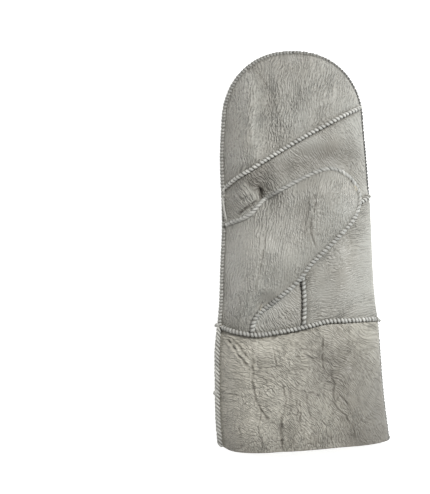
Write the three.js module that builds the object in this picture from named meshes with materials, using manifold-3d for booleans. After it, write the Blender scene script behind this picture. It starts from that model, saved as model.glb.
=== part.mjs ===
// A long-cuffed shearling mitten for the left hand, lying on its back with the palm and the folded thumb up.
// Eight leather panels are butted together, and a whipped, raised seam runs along every joint between them.
// Millimetres. +X runs from the thumb's side to the little finger's, +Y to the fingertips, +Z up from the floor.

import * as THREE from "three";
import { mergeVertices } from "three/addons/utils/BufferGeometryUtils.js";
import Module from "manifold-3d";

// Driving sizes
const HAND_LENGTH = 209; // cuff seam to fingertip, over the side seam's ridge
const CUFF_LENGTH = 96; // cuff seam to hem
const PALM_WIDTH = 113; // side seam to side seam across the palm
const THICKNESS = 34; // floor to the palm's crown
const TIP_ROUND = 57; // height of the rounded fingertip
const TIP_POWER = 2.2; // 2 is an ellipse, more is squarer
const WALL = 2.5; // leather with its clipped wool
const PALM_ROLL = 30; // width over which the palm rises from the side seam
const BACK_ROLL = 20; // width over which the back comes down to the floor
const THUMB_ROLL = 22; // width over which the thumb's face rises from its seam
const THUMB_RISE = 12; // thumb's face above its own seam
const THUMB_SEAM_LIFT = 7; // thumb's seam above the palm
const THUMB_RUN = 45; // width over which the thumb's face leaves the palm
const THUMB_SEAM_RUN = 16; // width over which the thumb's seam leaves the palm
const THUMB_REST = 3; // space between the palm and the thumb lying on it
const SEAM_RADIUS = 1.9; // whipped ridge of a seam
const SEAM_RAISE = 0.6; // ridge's centre above the leather
const CLEARANCE = 0.3; // between a ridge and the panels that it joins
const SEAM_REACH = 1.7; // a seam stops so many ridge radii and a clearance short of the one that it runs into
const HINGE_INSET = 8; // the thumb's inner fold stops this short of the thumb's seam
const PALM_SEAM_START = 12; // the palm seam starts this far behind the thumb's crotch
const HEEL_EDGE_START = 0.2; // share of the heel's seam between the hinge's foot and the gusset's edge
const PALM_EDGE_START = 0.06; // share of the palm seam between the hinge's top and the gusset's edge
const HINGE_LEAD = 0.01; // share of the thumb's seam between a hinge's end and the underside's edge
const FOLD_TURNS = [1 / 4, 2 / 4, 3 / 4]; // places round the half turn of the thumb's inner fold
const ROUTE_STEP = 6; // spacing of the points kept where two seams are drawn through as one
const CROTCH_SKIP = 3; // path steps left out before the crotch, where they join

// Fineness of the faceted surfaces
const SEAM_SIDES = 7;
const SEAM_STEP = 7.5;
const PANEL_STEP = 8.5;
const PATH_STEP = 1.5;

const SEAM_MARGIN = SEAM_RADIUS + CLEARANCE;
const SIDE_MARGIN = 0.75 * SEAM_MARGIN;

// Side seams below the cuff seam: along is a share of CUFF_LENGTH, left and right are shares of half PALM_WIDTH.
const CUFF_SIDES = [
  { along: 1.06, left: -0.985, right: 1.275 },
  { along: 0.83, left: -1.028, right: 1.235 },
  { along: 0.67, left: -1.041, right: 1.199 },
  { along: 0.44, left: -1.048, right: 1.156 },
  { along: 0.2, left: -1.048, right: 1.126 },
];
// Side seams above it, up to the rounded fingertip: along is a share of HAND_LENGTH.
const HAND_SIDES = [
  { along: 0.0, left: -1.017, right: 1.098 },
  { along: 0.09, left: -0.99, right: 1.048 },
  { along: 0.2, left: -0.979, right: 1.013 },
  { along: 0.35, left: -0.956, right: 0.99 },
  { along: 0.46, left: -0.963, right: 0.972 },
  { along: 0.6, left: -0.983, right: 0.933 },
];
const TIP_SIDES = { left: -0.966, right: 0.893 };

// Hem of the cuff: drop is a share of CUFF_LENGTH, across a share of half PALM_WIDTH.
const HEM = [
  { across: -1.12, drop: 0.955 },
  { across: -0.983, drop: 0.966 },
  { across: -0.889, drop: 0.99 },
  { across: -0.741, drop: 1.0 },
  { across: -0.404, drop: 1.0 },
  { across: 0.067, drop: 0.984 },
  { across: 0.606, drop: 0.956 },
  { across: 1.145, drop: 0.927 },
  { across: 1.36, drop: 0.9 },
];

// Inner seams: across is a share of half PALM_WIDTH, along a share of HAND_LENGTH. Ends run on past the side seams.
const FINGER_SEAM = [
  { across: -1.03, along: 0.486 },
  { across: -0.93, along: 0.502 },
  { across: -0.808, along: 0.529 },
  { across: -0.606, along: 0.562 },
  { across: -0.337, along: 0.609 },
  { across: -0.067, along: 0.653 },
  { across: 0.202, along: 0.695 },
  { across: 0.471, along: 0.734 },
  { across: 0.741, along: 0.776 },
  { across: 0.95, along: 0.806 },
];
const THUMB_SEAM = [
  { across: -1.03, along: 0.35 },
  { across: -0.93, along: 0.363 },
  { across: -0.84, along: 0.374 },
  { across: -0.7, along: 0.387 },
  { across: -0.593, along: 0.405 },
  { across: -0.512, along: 0.43 },
  { across: -0.431, along: 0.453 },
  { across: -0.31, along: 0.473 },
  { across: -0.162, along: 0.495 },
  { across: 0.027, along: 0.522 },
  { across: 0.215, along: 0.547 },
  { across: 0.337, along: 0.559 },
  { across: 0.444, along: 0.564 },
  { across: 0.566, along: 0.556 },
  { across: 0.687, along: 0.536 },
  { across: 0.781, along: 0.507 },
  { across: 0.838, along: 0.471 },
  { across: 0.838, along: 0.441 },
  { across: 0.795, along: 0.405 },
  { across: 0.7, along: 0.365 },
  { across: 0.539, along: 0.318 },
  { across: 0.337, along: 0.263 },
  { across: 0.175, along: 0.219 },
  { across: 0.074, along: 0.181 },
  { across: -0.027, along: 0.15 },
  { across: -0.189, along: 0.113 },
  { across: -0.364, along: 0.073 },
  { across: -0.498, along: 0.044 },
  { across: -0.56, along: 0.015 },
  { across: -0.586, along: -0.04 },
];
const CUFF_SEAM = [
  { across: -1.15, along: 0.006 },
  { across: -1.017, along: -0.005 },
  { across: -0.875, along: -0.018 },
  { across: -0.673, along: -0.029 },
  { across: -0.512, along: -0.033 },
  { across: -0.269, along: -0.024 },
  { across: 0.0, along: -0.011 },
  { across: 0.242, along: 0.005 },
  { across: 0.404, along: 0.016 },
  { across: 0.673, along: 0.02 },
  { across: 0.943, along: 0.021 },
  { across: 1.25, along: 0.018 },
];
const PALM_SEAM = [
  { across: -0.431, along: 0.453 },
  { across: -0.202, along: 0.431 },
  { across: 0.067, along: 0.418 },
  { across: 0.471, along: 0.421 },
  { across: 0.741, along: 0.436 },
  { across: 0.862, along: 0.455 },
  { across: 1.05, along: 0.492 },
];
const GUSSET_SEAM = [
  { across: 0.013, along: 0.45 },
  { across: 0.04, along: 0.31 },
  { across: 0.081, along: 0.193 },
  { across: 0.114, along: 0.09 },
  { across: 0.101, along: -0.03 },
];
// Points on the thumb's seam: the crotch where it leaves the palm, both ends of the tip's arc, and where it comes back.
const THUMB_CROTCH = { across: -0.431, along: 0.453 };
const THUMB_TIP_TOP = { across: 0.566, along: 0.556 };
const THUMB_TIP_SIDE = { across: 0.795, along: 0.405 };
const THUMB_HEEL = { across: -0.42, along: 0.062 };

// Heights from hem to fingertip: at is a share of the whole length, seam and crown are shares of THICKNESS.
const PROFILE = [
  { at: 0.0, seam: 0.3, crown: 0.8 },
  { at: 0.16, seam: 0.33, crown: 0.86 },
  { at: 0.31, seam: 0.37, crown: 0.84 },
  { at: 0.5, seam: 0.41, crown: 0.97 },
  { at: 0.75, seam: 0.43, crown: 1.0 },
  { at: 1.0, seam: 0.44, crown: 0.94 },
];

// Dents in the palm side, each a soft trough from one end to the other. Ends are placed as the seams are; width is a
// share of half PALM_WIDTH and depth a share of THICKNESS. A negative depth is a swelling.
const DENTS = [
  { name: "bed under the thumb", from: [-0.1, 0.32], to: [0.5, 0.42], width: 0.55, depth: 0.12 },
  { name: "pocket at the thumb's crotch", from: [-0.5, 0.485], to: [-0.44, 0.47], width: 0.13, depth: 0.15 },
  { name: "swelling beside the pocket", from: [-0.72, 0.44], to: [-0.68, 0.47], width: 0.2, depth: -0.05 },
  { name: "long fold in the fingers", from: [-0.4, 0.9], to: [-0.36, 0.64], width: 0.15, depth: 0.09 },
  { name: "trough by the fingertip", from: [-0.22, 0.86], to: [-0.3, 0.93], width: 0.22, depth: 0.05 },
  { name: "hollow above the thumb", from: [-0.1, 0.6], to: [0.6, 0.6], width: 0.16, depth: 0.05 },
  { name: "fold below the cuff seam", from: [-0.8, -0.055], to: [0.0, -0.035], width: 0.1, depth: 0.05 },
  { name: "crease down the cuff", from: [-0.58, -0.13], to: [-0.5, -0.3], width: 0.12, depth: 0.05 },
  { name: "crease to the hem", from: [-0.16, -0.25], to: [-0.17, -0.46], width: 0.12, depth: 0.06 },
  { name: "crease beside it", from: [0.45, -0.2], to: [0.62, -0.4], width: 0.16, depth: 0.04 },
];

const HALF_WIDTH = PALM_WIDTH / 2;
const WHOLE_LENGTH = HAND_LENGTH + CUFF_LENGTH;

const wasm = await Module();
wasm.setup();

// Paths in plan

const place = ({ across, along }) => new THREE.Vector2(across * HALF_WIDTH, along * HAND_LENGTH);

// Points at even steps along a smooth curve through the given ones.
function smoothPath(points) {
  const curve = new THREE.CatmullRomCurve3(
    points.map((p) => new THREE.Vector3(p.x, p.y, 0)),
    false,
    "centripetal",
  );
  const steps = Math.ceil(curve.getLength() / PATH_STEP);
  return curve.getSpacedPoints(steps).map((p) => new THREE.Vector2(p.x, p.y));
}

// The closest place of a path to a point: its distance, and its share of the path's length.
function nearest(path, x, y) {
  let best = Infinity;
  let share = 0;
  for (let i = 0; i + 1 < path.length; i++) {
    const a = path[i];
    const dx = path[i + 1].x - a.x;
    const dy = path[i + 1].y - a.y;
    const t = THREE.MathUtils.clamp(((x - a.x) * dx + (y - a.y) * dy) / (dx * dx + dy * dy), 0, 1);
    const distance = Math.hypot(x - a.x - t * dx, y - a.y - t * dy);
    if (distance < best) {
      best = distance;
      share = (i + t) / (path.length - 1);
    }
  }
  return { distance: best, share };
}

const distanceTo = (path, x, y) => nearest(path, x, y).distance;
const shareOf = (path, point) => nearest(path, point.x, point.y).share;

function pointAt(path, share) {
  const s = THREE.MathUtils.clamp(share, 0, 1) * (path.length - 1);
  const i = Math.min(Math.floor(s), path.length - 2);
  return path[i].clone().lerp(path[i + 1], s - i);
}

// The stretch of a path between two shares of its length, in the direction from one to the other.
function stretch(path, from, to) {
  const steps = Math.max(2, Math.round(Math.abs(to - from) * (path.length - 1)));
  return Array.from({ length: steps + 1 }, (_, i) => pointAt(path, from + ((to - from) * i) / steps));
}

// A path moved sideways, to its left where the distance is positive.
function offsetPath(path, distance) {
  return path.map((p, i) => {
    const tangent = path[Math.min(i + 1, path.length - 1)].clone().sub(path[Math.max(i - 1, 0)]).normalize();
    return new THREE.Vector2(p.x - tangent.y * distance, p.y + tangent.x * distance);
  });
}

// Where two paths cross, as a share of each one's length. Where they miss, their nearest places.
function crossing(a, b) {
  for (let i = 0; i + 1 < a.length; i++) {
    for (let j = 0; j + 1 < b.length; j++) {
      const r = a[i + 1].clone().sub(a[i]);
      const s = b[j + 1].clone().sub(b[j]);
      const between = b[j].clone().sub(a[i]);
      const turn = r.cross(s);
      const t = between.cross(s) / turn;
      const u = between.cross(r) / turn;
      if (t >= 0 && t <= 1 && u >= 0 && u <= 1) return [(i + t) / (a.length - 1), (j + u) / (b.length - 1)];
    }
  }
  const ends = [0, 1].map((end) => ({ end, ...nearest(b, pointAt(a, end).x, pointAt(a, end).y) }));
  const closer = ends[0].distance < ends[1].distance ? ends[0] : ends[1];
  return [closer.end, closer.share];
}

// The sides of a panel, anticlockwise, each a path cut where it meets the sides before and after it.
function closeSides(paths) {
  const corners = paths.map((path, i) => crossing(path, paths[(i + 1) % paths.length]));
  return paths.map((path, i) => stretch(path, corners[(i + paths.length - 1) % paths.length][1], corners[i][0]));
}

const reversed = (path) => [...path].reverse();

function tipArc() {
  const left = TIP_SIDES.left * HALF_WIDTH;
  const right = TIP_SIDES.right * HALF_WIDTH;
  const steps = 12;
  return Array.from({ length: steps + 1 }, (_, i) => {
    const angle = Math.PI * (1 - i / steps);
    const out = Math.sign(Math.cos(angle)) * Math.abs(Math.cos(angle)) ** (2 / TIP_POWER);
    const up = Math.abs(Math.sin(angle)) ** (2 / TIP_POWER);
    return new THREE.Vector2(
      (left + right) / 2 + (out * (right - left)) / 2,
      HAND_LENGTH - SEAM_RADIUS - TIP_ROUND + up * TIP_ROUND,
    );
  });
}

function sidePath() {
  const cuffSide = (side) => CUFF_SIDES.map((row) => new THREE.Vector2(row[side] * HALF_WIDTH, -row.along * CUFF_LENGTH));
  const handSide = (side) => HAND_SIDES.map((row) => place({ across: row[side], along: row.along }));
  return smoothPath([
    ...cuffSide("left"),
    ...handSide("left"),
    ...tipArc(),
    ...reversed(handSide("right")),
    ...reversed(cuffSide("right")),
  ]);
}

const side = sidePath();
const hem = smoothPath(HEM.map((row) => new THREE.Vector2(row.across * HALF_WIDTH, -row.drop * CUFF_LENGTH)));
const fingerSeam = smoothPath(FINGER_SEAM.map(place));
const thumbSeam = smoothPath(THUMB_SEAM.map(place));
const cuffSeam = smoothPath(CUFF_SEAM.map(place));
const palmSeam = smoothPath(PALM_SEAM.map(place));
const gussetSeam = smoothPath(GUSSET_SEAM.map(place));

const leftSide = stretch(side, 0, 0.5);
const rightSide = stretch(side, 0.5, 1);
const crotch = shareOf(thumbSeam, place(THUMB_CROTCH));
const heel = shareOf(thumbSeam, place(THUMB_HEEL));
const [thumbStart] = crossing(thumbSeam, leftSide);
const [thumbEnd, thumbFoot] = crossing(thumbSeam, cuffSeam);

// Heights

const pillow = (share) => 1 - (1 - THREE.MathUtils.clamp(share, 0, 1)) ** 2.5;
const ease = (share) => THREE.MathUtils.smoothstep(share, 0, 1);

// A smooth curve through one column of PROFILE.
function profile(key, y) {
  const at = THREE.MathUtils.clamp((y + CUFF_LENGTH) / WHOLE_LENGTH, 0, 1);
  const last = PROFILE.length - 2;
  const i = Math.min(PROFILE.findLastIndex((row) => row.at <= at), last);
  const slope = (j) => {
    const before = PROFILE[Math.max(j - 1, 0)];
    const after = PROFILE[Math.min(j + 1, last + 1)];
    return (after[key] - before[key]) / (after.at - before.at);
  };
  const span = PROFILE[i + 1].at - PROFILE[i].at;
  const t = (at - PROFILE[i].at) / span;
  const rise = PROFILE[i + 1][key] - PROFILE[i][key];
  const bend = t * (1 - t) * ((1 - t) * (slope(i) * span - rise) - t * (slope(i + 1) * span - rise));
  return THICKNESS * (PROFILE[i][key] + rise * t + bend);
}

function dentDepth(x, y) {
  return DENTS.reduce((sum, dent) => {
    const [from, to] = [dent.from, dent.to].map(([across, along]) => place({ across, along }));
    const away = distanceTo([from, to], x, y) / (dent.width * HALF_WIDTH);
    return sum + dent.depth * THICKNESS * Math.exp(-away * away);
  }, 0);
}

// Leather of the palm side, the thumb left out.
function palmHeight(x, y) {
  const inward = pillow(distanceTo(side, x, y) / PALM_ROLL);
  const seam = profile("seam", y);
  return seam + inward * (profile("crown", y) - seam - dentDepth(x, y));
}

// Leather of the back, flat on the floor but for the raised seam's groove.
function backHeight(x, y) {
  const groove = (SEAM_RADIUS + SEAM_RAISE) * Math.exp(-((distanceTo(cuffSeam, x, y) / (4 * SEAM_RADIUS)) ** 2));
  const roll = profile("seam", y) * (1 - pillow(distanceTo(side, x, y) / BACK_ROLL));
  return Math.max(roll, groove < CLEARANCE / 10 ? 0 : groove);
}

// The thumb leaves the palm between its crotch and its heel. Elsewhere its leather is one with the palm's.
const rooted = [
  leftSide,
  stretch(thumbSeam, thumbStart, crotch),
  stretch(thumbSeam, heel, thumbEnd),
  stretch(cuffSeam, crossing(cuffSeam, leftSide)[0], thumbFoot),
];
const free = stretch(thumbSeam, crotch, heel);

const rootDistance = (x, y) => Math.min(...rooted.map((path) => distanceTo(path, x, y)));
const seamLift = (x, y) => THUMB_SEAM_LIFT * ease(rootDistance(x, y) / THUMB_SEAM_RUN);

function thumbFaceHeight(x, y) {
  const dome = THUMB_RISE * ease(rootDistance(x, y) / THUMB_RUN) * pillow(distanceTo(free, x, y) / THUMB_ROLL);
  return palmHeight(x, y) + seamLift(x, y) + dome;
}

function thumbUndersideHeight(x, y) {
  const border = Math.max(seamLift(x, y), THUMB_REST);
  const inward = pillow(distanceTo(free, x, y) / THUMB_ROLL);
  return palmHeight(x, y) + border + (THUMB_REST - border) * inward;
}

// Panels

const lengthOf = (path) => path.reduce((sum, p, i) => sum + (i ? p.distanceTo(path[i - 1]) : 0), 0);
const stepsAlong = (...paths) => Math.max(3, Math.round(Math.max(...paths.map(lengthOf)) / PANEL_STEP));

// A four-sided grid of plan points between a bottom and a top run left to right, and a left and a right run upwards.
function planGrid({ bottom, top, left, right }, rows = stepsAlong(left, right)) {
  const columns = stepsAlong(bottom, top);
  const corner = { bl: bottom[0], br: bottom.at(-1), tl: top[0], tr: top.at(-1) };
  return Array.from({ length: rows + 1 }, (_, j) =>
    Array.from({ length: columns + 1 }, (_, i) => {
      const [u, v] = [i / columns, j / rows];
      const point = pointAt(bottom, u).multiplyScalar(1 - v).addScaledVector(pointAt(top, u), v);
      point.addScaledVector(pointAt(left, v), 1 - u).addScaledVector(pointAt(right, v), u);
      point.addScaledVector(corner.bl, -(1 - u) * (1 - v)).addScaledVector(corner.br, -u * (1 - v));
      return point.addScaledVector(corner.tl, -(1 - u) * v).addScaledVector(corner.tr, -u * v);
    }),
  );
}

const raiseGrid = (grid, height) => grid.map((row) => row.map((p) => new THREE.Vector3(p.x, p.y, height(p.x, p.y))));

// A closed wall of the given thickness behind a grid of points. The leather side is the one that sees the grid
// anticlockwise, and flip turns it over.
function sheet(grid, flip = false, thickness = WALL) {
  const [rows, columns] = [grid.length, grid[0].length];
  const atEnd = (k, count) => k === 0 || k === count - 1;
  // A corner of a rounded panel has no turn of its own, so it takes the normal of the point inside it.
  const normal = (j, i) => {
    if (atEnd(j, rows) && atEnd(i, columns)) return normal(j ? j - 1 : 1, i ? i - 1 : 1);
    const along = grid[Math.min(j + 1, rows - 1)][i].clone().sub(grid[Math.max(j - 1, 0)][i]);
    const across = grid[j][Math.min(i + 1, columns - 1)].clone().sub(grid[j][Math.max(i - 1, 0)]);
    return across.cross(along).normalize();
  };
  const outer = grid.flat();
  const inner = grid.flatMap((row, j) =>
    row.map((p, i) => p.clone().addScaledVector(normal(j, i), flip ? thickness : -thickness)),
  );
  const faces = [];
  const quad = (a, b, c, d) => faces.push(...(flip ? [a, c, b, a, d, c] : [a, b, c, a, c, d]));
  const front = (j, i) => j * columns + i;
  const back = (j, i) => front(j, i) + outer.length;
  for (let j = 0; j + 1 < rows; j++) {
    for (let i = 0; i + 1 < columns; i++) {
      quad(front(j, i), front(j, i + 1), front(j + 1, i + 1), front(j + 1, i));
      quad(back(j, i), back(j + 1, i), back(j + 1, i + 1), back(j, i + 1));
    }
  }
  const border = [
    ...Array.from({ length: columns - 1 }, (_, i) => [0, i]),
    ...Array.from({ length: rows - 1 }, (_, j) => [j, columns - 1]),
    ...Array.from({ length: columns - 1 }, (_, i) => [rows - 1, columns - 1 - i]),
    ...Array.from({ length: rows - 1 }, (_, j) => [rows - 1 - j, 0]),
  ];
  border.forEach((spot, k) => {
    const next = border[(k + 1) % border.length];
    quad(front(...spot), back(...spot), back(...next), front(...next));
  });
  const geometry = new THREE.BufferGeometry();
  geometry.setAttribute(
    "position",
    new THREE.Float32BufferAttribute([...outer, ...inner].flatMap((p) => p.toArray()), 3),
  );
  geometry.setIndex(faces);
  return geometry;
}

// The sides of a panel whose outer edge is the rounded end of the side seam, split where the arc turns most.
function roundedSides(base) {
  const [bottom, up, down] = closeSides([base, rightEdge, leftEdge]);
  const around = [...up, ...down.slice(1)];
  const [first, second] = [0.36, 0.64];
  return {
    bottom,
    right: stretch(around, 0, first),
    top: reversed(stretch(around, first, second)),
    left: reversed(stretch(around, second, 1)),
  };
}

function fourSides(bottom, right, top, left) {
  const [b, r, t, l] = closeSides([bottom, right, top, left]);
  return { bottom: b, right: r, top: reversed(t), left: reversed(l) };
}

// The side seam runs clockwise from the hem's left end to its right end, so a panel's inside lies to its right.
// The panels leave it steeply, so their edges come closer to it in plan than along the leather.
const sideEdge = reversed(offsetPath(side, -SIDE_MARGIN));
const rightEdge = stretch(sideEdge, 0, 0.5);
const leftEdge = stretch(sideEdge, 0.5, 1);
const above = (seam) => offsetPath(seam, SEAM_MARGIN);
const below = (seam) => reversed(offsetPath(seam, -SEAM_MARGIN));

// The seam over the thumb's root runs on into the palm seam, which passes under the thumb.
const everyRouteStep = (_, i) => i % Math.round(ROUTE_STEP / PATH_STEP) === 0;
const rootAndPalmSeam = smoothPath([
  ...stretch(thumbSeam, 0, crotch).slice(0, -CROTCH_SKIP).filter(everyRouteStep),
  ...palmSeam.filter(everyRouteStep),
]);

const thumbInner = offsetPath(thumbSeam, -SEAM_MARGIN);
const hingeTop = pointAt(thumbSeam, crotch);
const hingeFoot = pointAt(thumbSeam, heel);
const hingeAlong = hingeTop.clone().sub(hingeFoot).normalize();
const hingeEnds = [
  hingeFoot.clone().addScaledVector(hingeAlong, HINGE_INSET),
  hingeTop.clone().addScaledVector(hingeAlong, -HINGE_INSET),
];
const hinge = stretch(hingeEnds, 0, 1);

function thumbFaceSides() {
  const [tipTop, tipSide] = [THUMB_TIP_TOP, THUMB_TIP_SIDE].map((p) => shareOf(thumbInner, place(p)));
  const [bottom, outer, left] = closeSides([above(cuffSeam), reversed(thumbInner), leftEdge]);
  const [side0, top0] = [shareOf(outer, pointAt(thumbInner, tipSide)), shareOf(outer, pointAt(thumbInner, tipTop))];
  return {
    bottom: [...bottom, ...stretch(outer, 0, side0).slice(1)],
    right: stretch(outer, side0, top0),
    top: reversed(stretch(outer, top0, 1)),
    left: reversed(left),
  };
}

// The thumb's back: the gusset lies in the palm, turns over at the hinge and comes back as the thumb's underside.
function thumbBackGrid() {
  const gussetEdge = offsetPath(gussetSeam, -SEAM_MARGIN);
  const palmEdge = offsetPath(palmSeam, -SEAM_MARGIN);
  const cuffEdge = above(cuffSeam);
  const heelEdge = offsetPath(stretch(thumbSeam, heel, 1), SEAM_MARGIN);
  const [palmEnd, gussetTop] = crossing(palmEdge, gussetEdge);
  const [gussetFoot, cuffRight] = crossing(gussetEdge, cuffEdge);
  const [heelFoot, cuffLeft] = crossing(heelEdge, cuffEdge);
  const cuffPart = stretch(cuffEdge, cuffLeft, cuffRight);
  const gusset = {
    bottom: [hinge[0], ...stretch(heelEdge, HEEL_EDGE_START, heelFoot), ...cuffPart.slice(1)],
    right: reversed(stretch(gussetEdge, gussetTop, gussetFoot)),
    top: [hinge.at(-1), ...stretch(palmEdge, PALM_EDGE_START, palmEnd)],
    left: hinge,
  };
  const [tipTop, tipSide] = [THUMB_TIP_TOP, THUMB_TIP_SIDE].map((p) => shareOf(thumbInner, place(p)));
  const underside = {
    bottom: [hinge[0], ...stretch(thumbInner, shareOf(thumbInner, hinge[0]) - HINGE_LEAD, tipSide)],
    right: stretch(thumbInner, tipSide, tipTop),
    top: [hinge.at(-1), ...stretch(thumbInner, shareOf(thumbInner, hinge.at(-1)) + HINGE_LEAD, tipTop)],
    left: hinge,
  };
  const rows = stepsAlong(hinge, underside.right);
  const lower = raiseGrid(planGrid(gusset, rows), palmHeight);
  const upper = raiseGrid(planGrid(underside, rows), thumbUndersideHeight);
  const outward = hinge.at(-1).clone().sub(hinge[0]).normalize();
  return lower.map((row, j) => {
    const [from, to] = [row[0], upper[j][0]];
    const centre = from.clone().lerp(to, 0.5);
    const radius = (to.z - from.z) / 2;
    const fold = FOLD_TURNS.map((turn) => {
      const [out, up] = [Math.sin(turn * Math.PI) * radius, -Math.cos(turn * Math.PI) * radius];
      return centre.clone().add(new THREE.Vector3(-outward.y * out, outward.x * out, up));
    });
    return [...reversed(row), ...fold, ...upper[j]];
  });
}

// Seams

// A round ridge along a plan path at a given height of its centre.
function ridge(path, height, radius = SEAM_RADIUS) {
  const steps = Math.max(2, Math.round(lengthOf(path) / SEAM_STEP));
  const points = stretch(path, 0, 1).map((p) => new THREE.Vector3(p.x, p.y, height(p.x, p.y)));
  const curve = new THREE.CatmullRomCurve3(
    Array.from({ length: steps * 2 + 1 }, (_, i) => points[Math.round((i * (points.length - 1)) / (steps * 2))]),
    false,
    "centripetal",
  );
  const section = new THREE.Shape(
    Array.from({ length: SEAM_SIDES }, (_, i) => {
      const angle = (2 * Math.PI * i) / SEAM_SIDES;
      return new THREE.Vector2(Math.cos(angle) * radius, Math.sin(angle) * radius);
    }),
  );
  return new THREE.ExtrudeGeometry(section, { steps, extrudePath: curve });
}

// A seam's path between the seams that it runs into, stopped short of their ridges.
function between(path, first, last) {
  const reach = SEAM_REACH * SEAM_RADIUS + CLEARANCE;
  const walk = (other, from, direction) => {
    const step = direction / (path.length - 1);
    let share = from;
    while (nearest(other, pointAt(path, share).x, pointAt(path, share).y).distance < reach) share += step / 4;
    return share;
  };
  const start = walk(first, crossing(path, first)[0], 1);
  const end = walk(last, crossing(path, last)[0], -1);
  return stretch(path, start, end);
}

const raisedOn = (height) => (x, y) => height(x, y) + SEAM_RAISE;
const sideHeight = (x, y) => profile("seam", y);
const palmRidgeHeight = raisedOn(palmHeight);
const thumbRidgeHeight = raisedOn((x, y) => palmHeight(x, y) + seamLift(x, y));
const backRidgeHeight = (x, y) => backHeight(x, y) - SEAM_RAISE;

// The palm seam starts behind the thumb's crotch, where the thumb has left the palm.
function palmSeamRun() {
  const run = between(palmSeam, thumbSeam, rightSide);
  return stretch(run, PALM_SEAM_START / lengthOf(run), 1);
}

// The side seam is sewn in three runs: one round the hand and one down each side of the cuff.
function sideRuns() {
  const [, left] = crossing(cuffSeam, leftSide);
  const [, right] = crossing(cuffSeam, rightSide);
  const [, hemLeft] = crossing(hem, leftSide);
  const [, hemRight] = crossing(hem, rightSide);
  const gap = CLEARANCE / 2 / lengthOf(leftSide);
  return {
    hand: stretch(side, (left + gap) / 2, (1 + right - gap) / 2),
    cuffLeft: stretch(leftSide, hemLeft, left - gap),
    cuffRight: stretch(rightSide, right + gap, hemRight),
  };
}

// Solid joins and cuts

function solidOf(geometry) {
  const bare = new THREE.BufferGeometry().setAttribute("position", geometry.getAttribute("position").clone());
  if (geometry.index) bare.setIndex(geometry.index);
  const merged = mergeVertices(bare, 1e-4);
  return new wasm.Manifold(
    new wasm.Mesh({
      numProp: 3,
      vertProperties: merged.attributes.position.array,
      triVerts: new Uint32Array(merged.index.array),
    }),
  );
}

// A geometry with others cut out of it. Only the largest piece is kept.
function cutClear(geometry, ...cutters) {
  const rest = cutters.reduce((left, cutter) => left.subtract(solidOf(cutter)), solidOf(geometry));
  const largest = rest.decompose().reduce((a, b) => (a.volume() > b.volume() ? a : b));
  const mesh = largest.getMesh();
  const cut = new THREE.BufferGeometry();
  cut.setAttribute("position", new THREE.BufferAttribute(new Float32Array(mesh.vertProperties), 3));
  cut.setIndex(new THREE.BufferAttribute(new Uint32Array(mesh.triVerts), 1));
  return cut;
}

// Assembly

const LEATHER = new THREE.MeshStandardMaterial({ color: 0x9a958b, roughness: 0.55, metalness: 0 });
const THREAD = new THREE.MeshStandardMaterial({ color: 0xa9aaa6, roughness: 0.6, metalness: 0 });

const thumbFaceGrid = raiseGrid(planGrid(thumbFaceSides()), thumbFaceHeight);
const thumbSeamRun = between(thumbSeam, leftSide, cuffSeam);
const thumbSeamSpace = ridge(thumbSeamRun, thumbRidgeHeight, SEAM_MARGIN + CLEARANCE);
// The thumb's face and the clearance under and beside it, as copies moved by so many clearances.
const thumbFaceSpace = [[0, 0, 0], [0, 0, -2], [0, 3, -1], [3, 0, -1]].map(([x, y, z]) =>
  sheet(thumbFaceGrid, false, WALL + CLEARANCE).translate(x * CLEARANCE, y * CLEARANCE, z * CLEARANCE),
);
const sideSeams = sideRuns();

function panels() {
  const palmSide = (sides) => sheet(raiseGrid(planGrid(sides), palmHeight));
  const backSide = (sides) => sheet(raiseGrid(planGrid(sides), backHeight), true);
  const cuffSides = fourSides(hem, rightEdge, below(cuffSeam), leftEdge);
  return {
    finger_panel: palmSide(roundedSides(above(fingerSeam))),
    middle_panel: cutClear(
      palmSide(fourSides(above(rootAndPalmSeam), rightEdge, below(fingerSeam), leftEdge)),
      thumbSeamSpace,
      ...thumbFaceSpace,
    ),
    palm_panel: palmSide(
      fourSides(above(cuffSeam), rightEdge, below(palmSeam), offsetPath(gussetSeam, SEAM_MARGIN)),
    ),
    thumb_face_panel: cutClear(sheet(thumbFaceGrid), thumbSeamSpace),
    thumb_back_panel: cutClear(
      sheet(thumbBackGrid(), true),
      thumbSeamSpace,
      ...thumbFaceSpace,
    ),
    cuff_face_panel: palmSide(cuffSides),
    back_panel: backSide(roundedSides(above(cuffSeam))),
    cuff_back_panel: backSide(cuffSides),
  };
}

function seams() {
  return {
    finger_seam: ridge(between(fingerSeam, leftSide, rightSide), palmRidgeHeight),
    thumb_seam: ridge(thumbSeamRun, thumbRidgeHeight),
    palm_seam: ridge(palmSeamRun(), palmRidgeHeight),
    gusset_seam: ridge(between(gussetSeam, palmSeam, cuffSeam), palmRidgeHeight),
    cuff_face_seam: ridge(between(cuffSeam, leftSide, rightSide), palmRidgeHeight),
    cuff_back_seam: ridge(between(cuffSeam, leftSide, rightSide), backRidgeHeight),
    hand_side_seam: ridge(sideSeams.hand, sideHeight),
    cuff_left_seam: ridge(sideSeams.cuffLeft, sideHeight),
    cuff_right_seam: ridge(sideSeams.cuffRight, sideHeight),
  };
}

function mitten() {
  const group = new THREE.Group();
  const add = (pieces, material) => {
    for (const [name, geometry] of Object.entries(pieces)) {
      const mesh = new THREE.Mesh(geometry, material);
      mesh.name = name;
      group.add(mesh);
    }
  };
  add(panels(), LEATHER);
  add(seams(), THREAD);
  const box = new THREE.Box3().setFromObject(group);
  group.position.set(-(box.min.x + box.max.x) / 2, -(box.min.y + box.max.y) / 2, -box.min.z);
  return group;
}

export default mitten();
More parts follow.
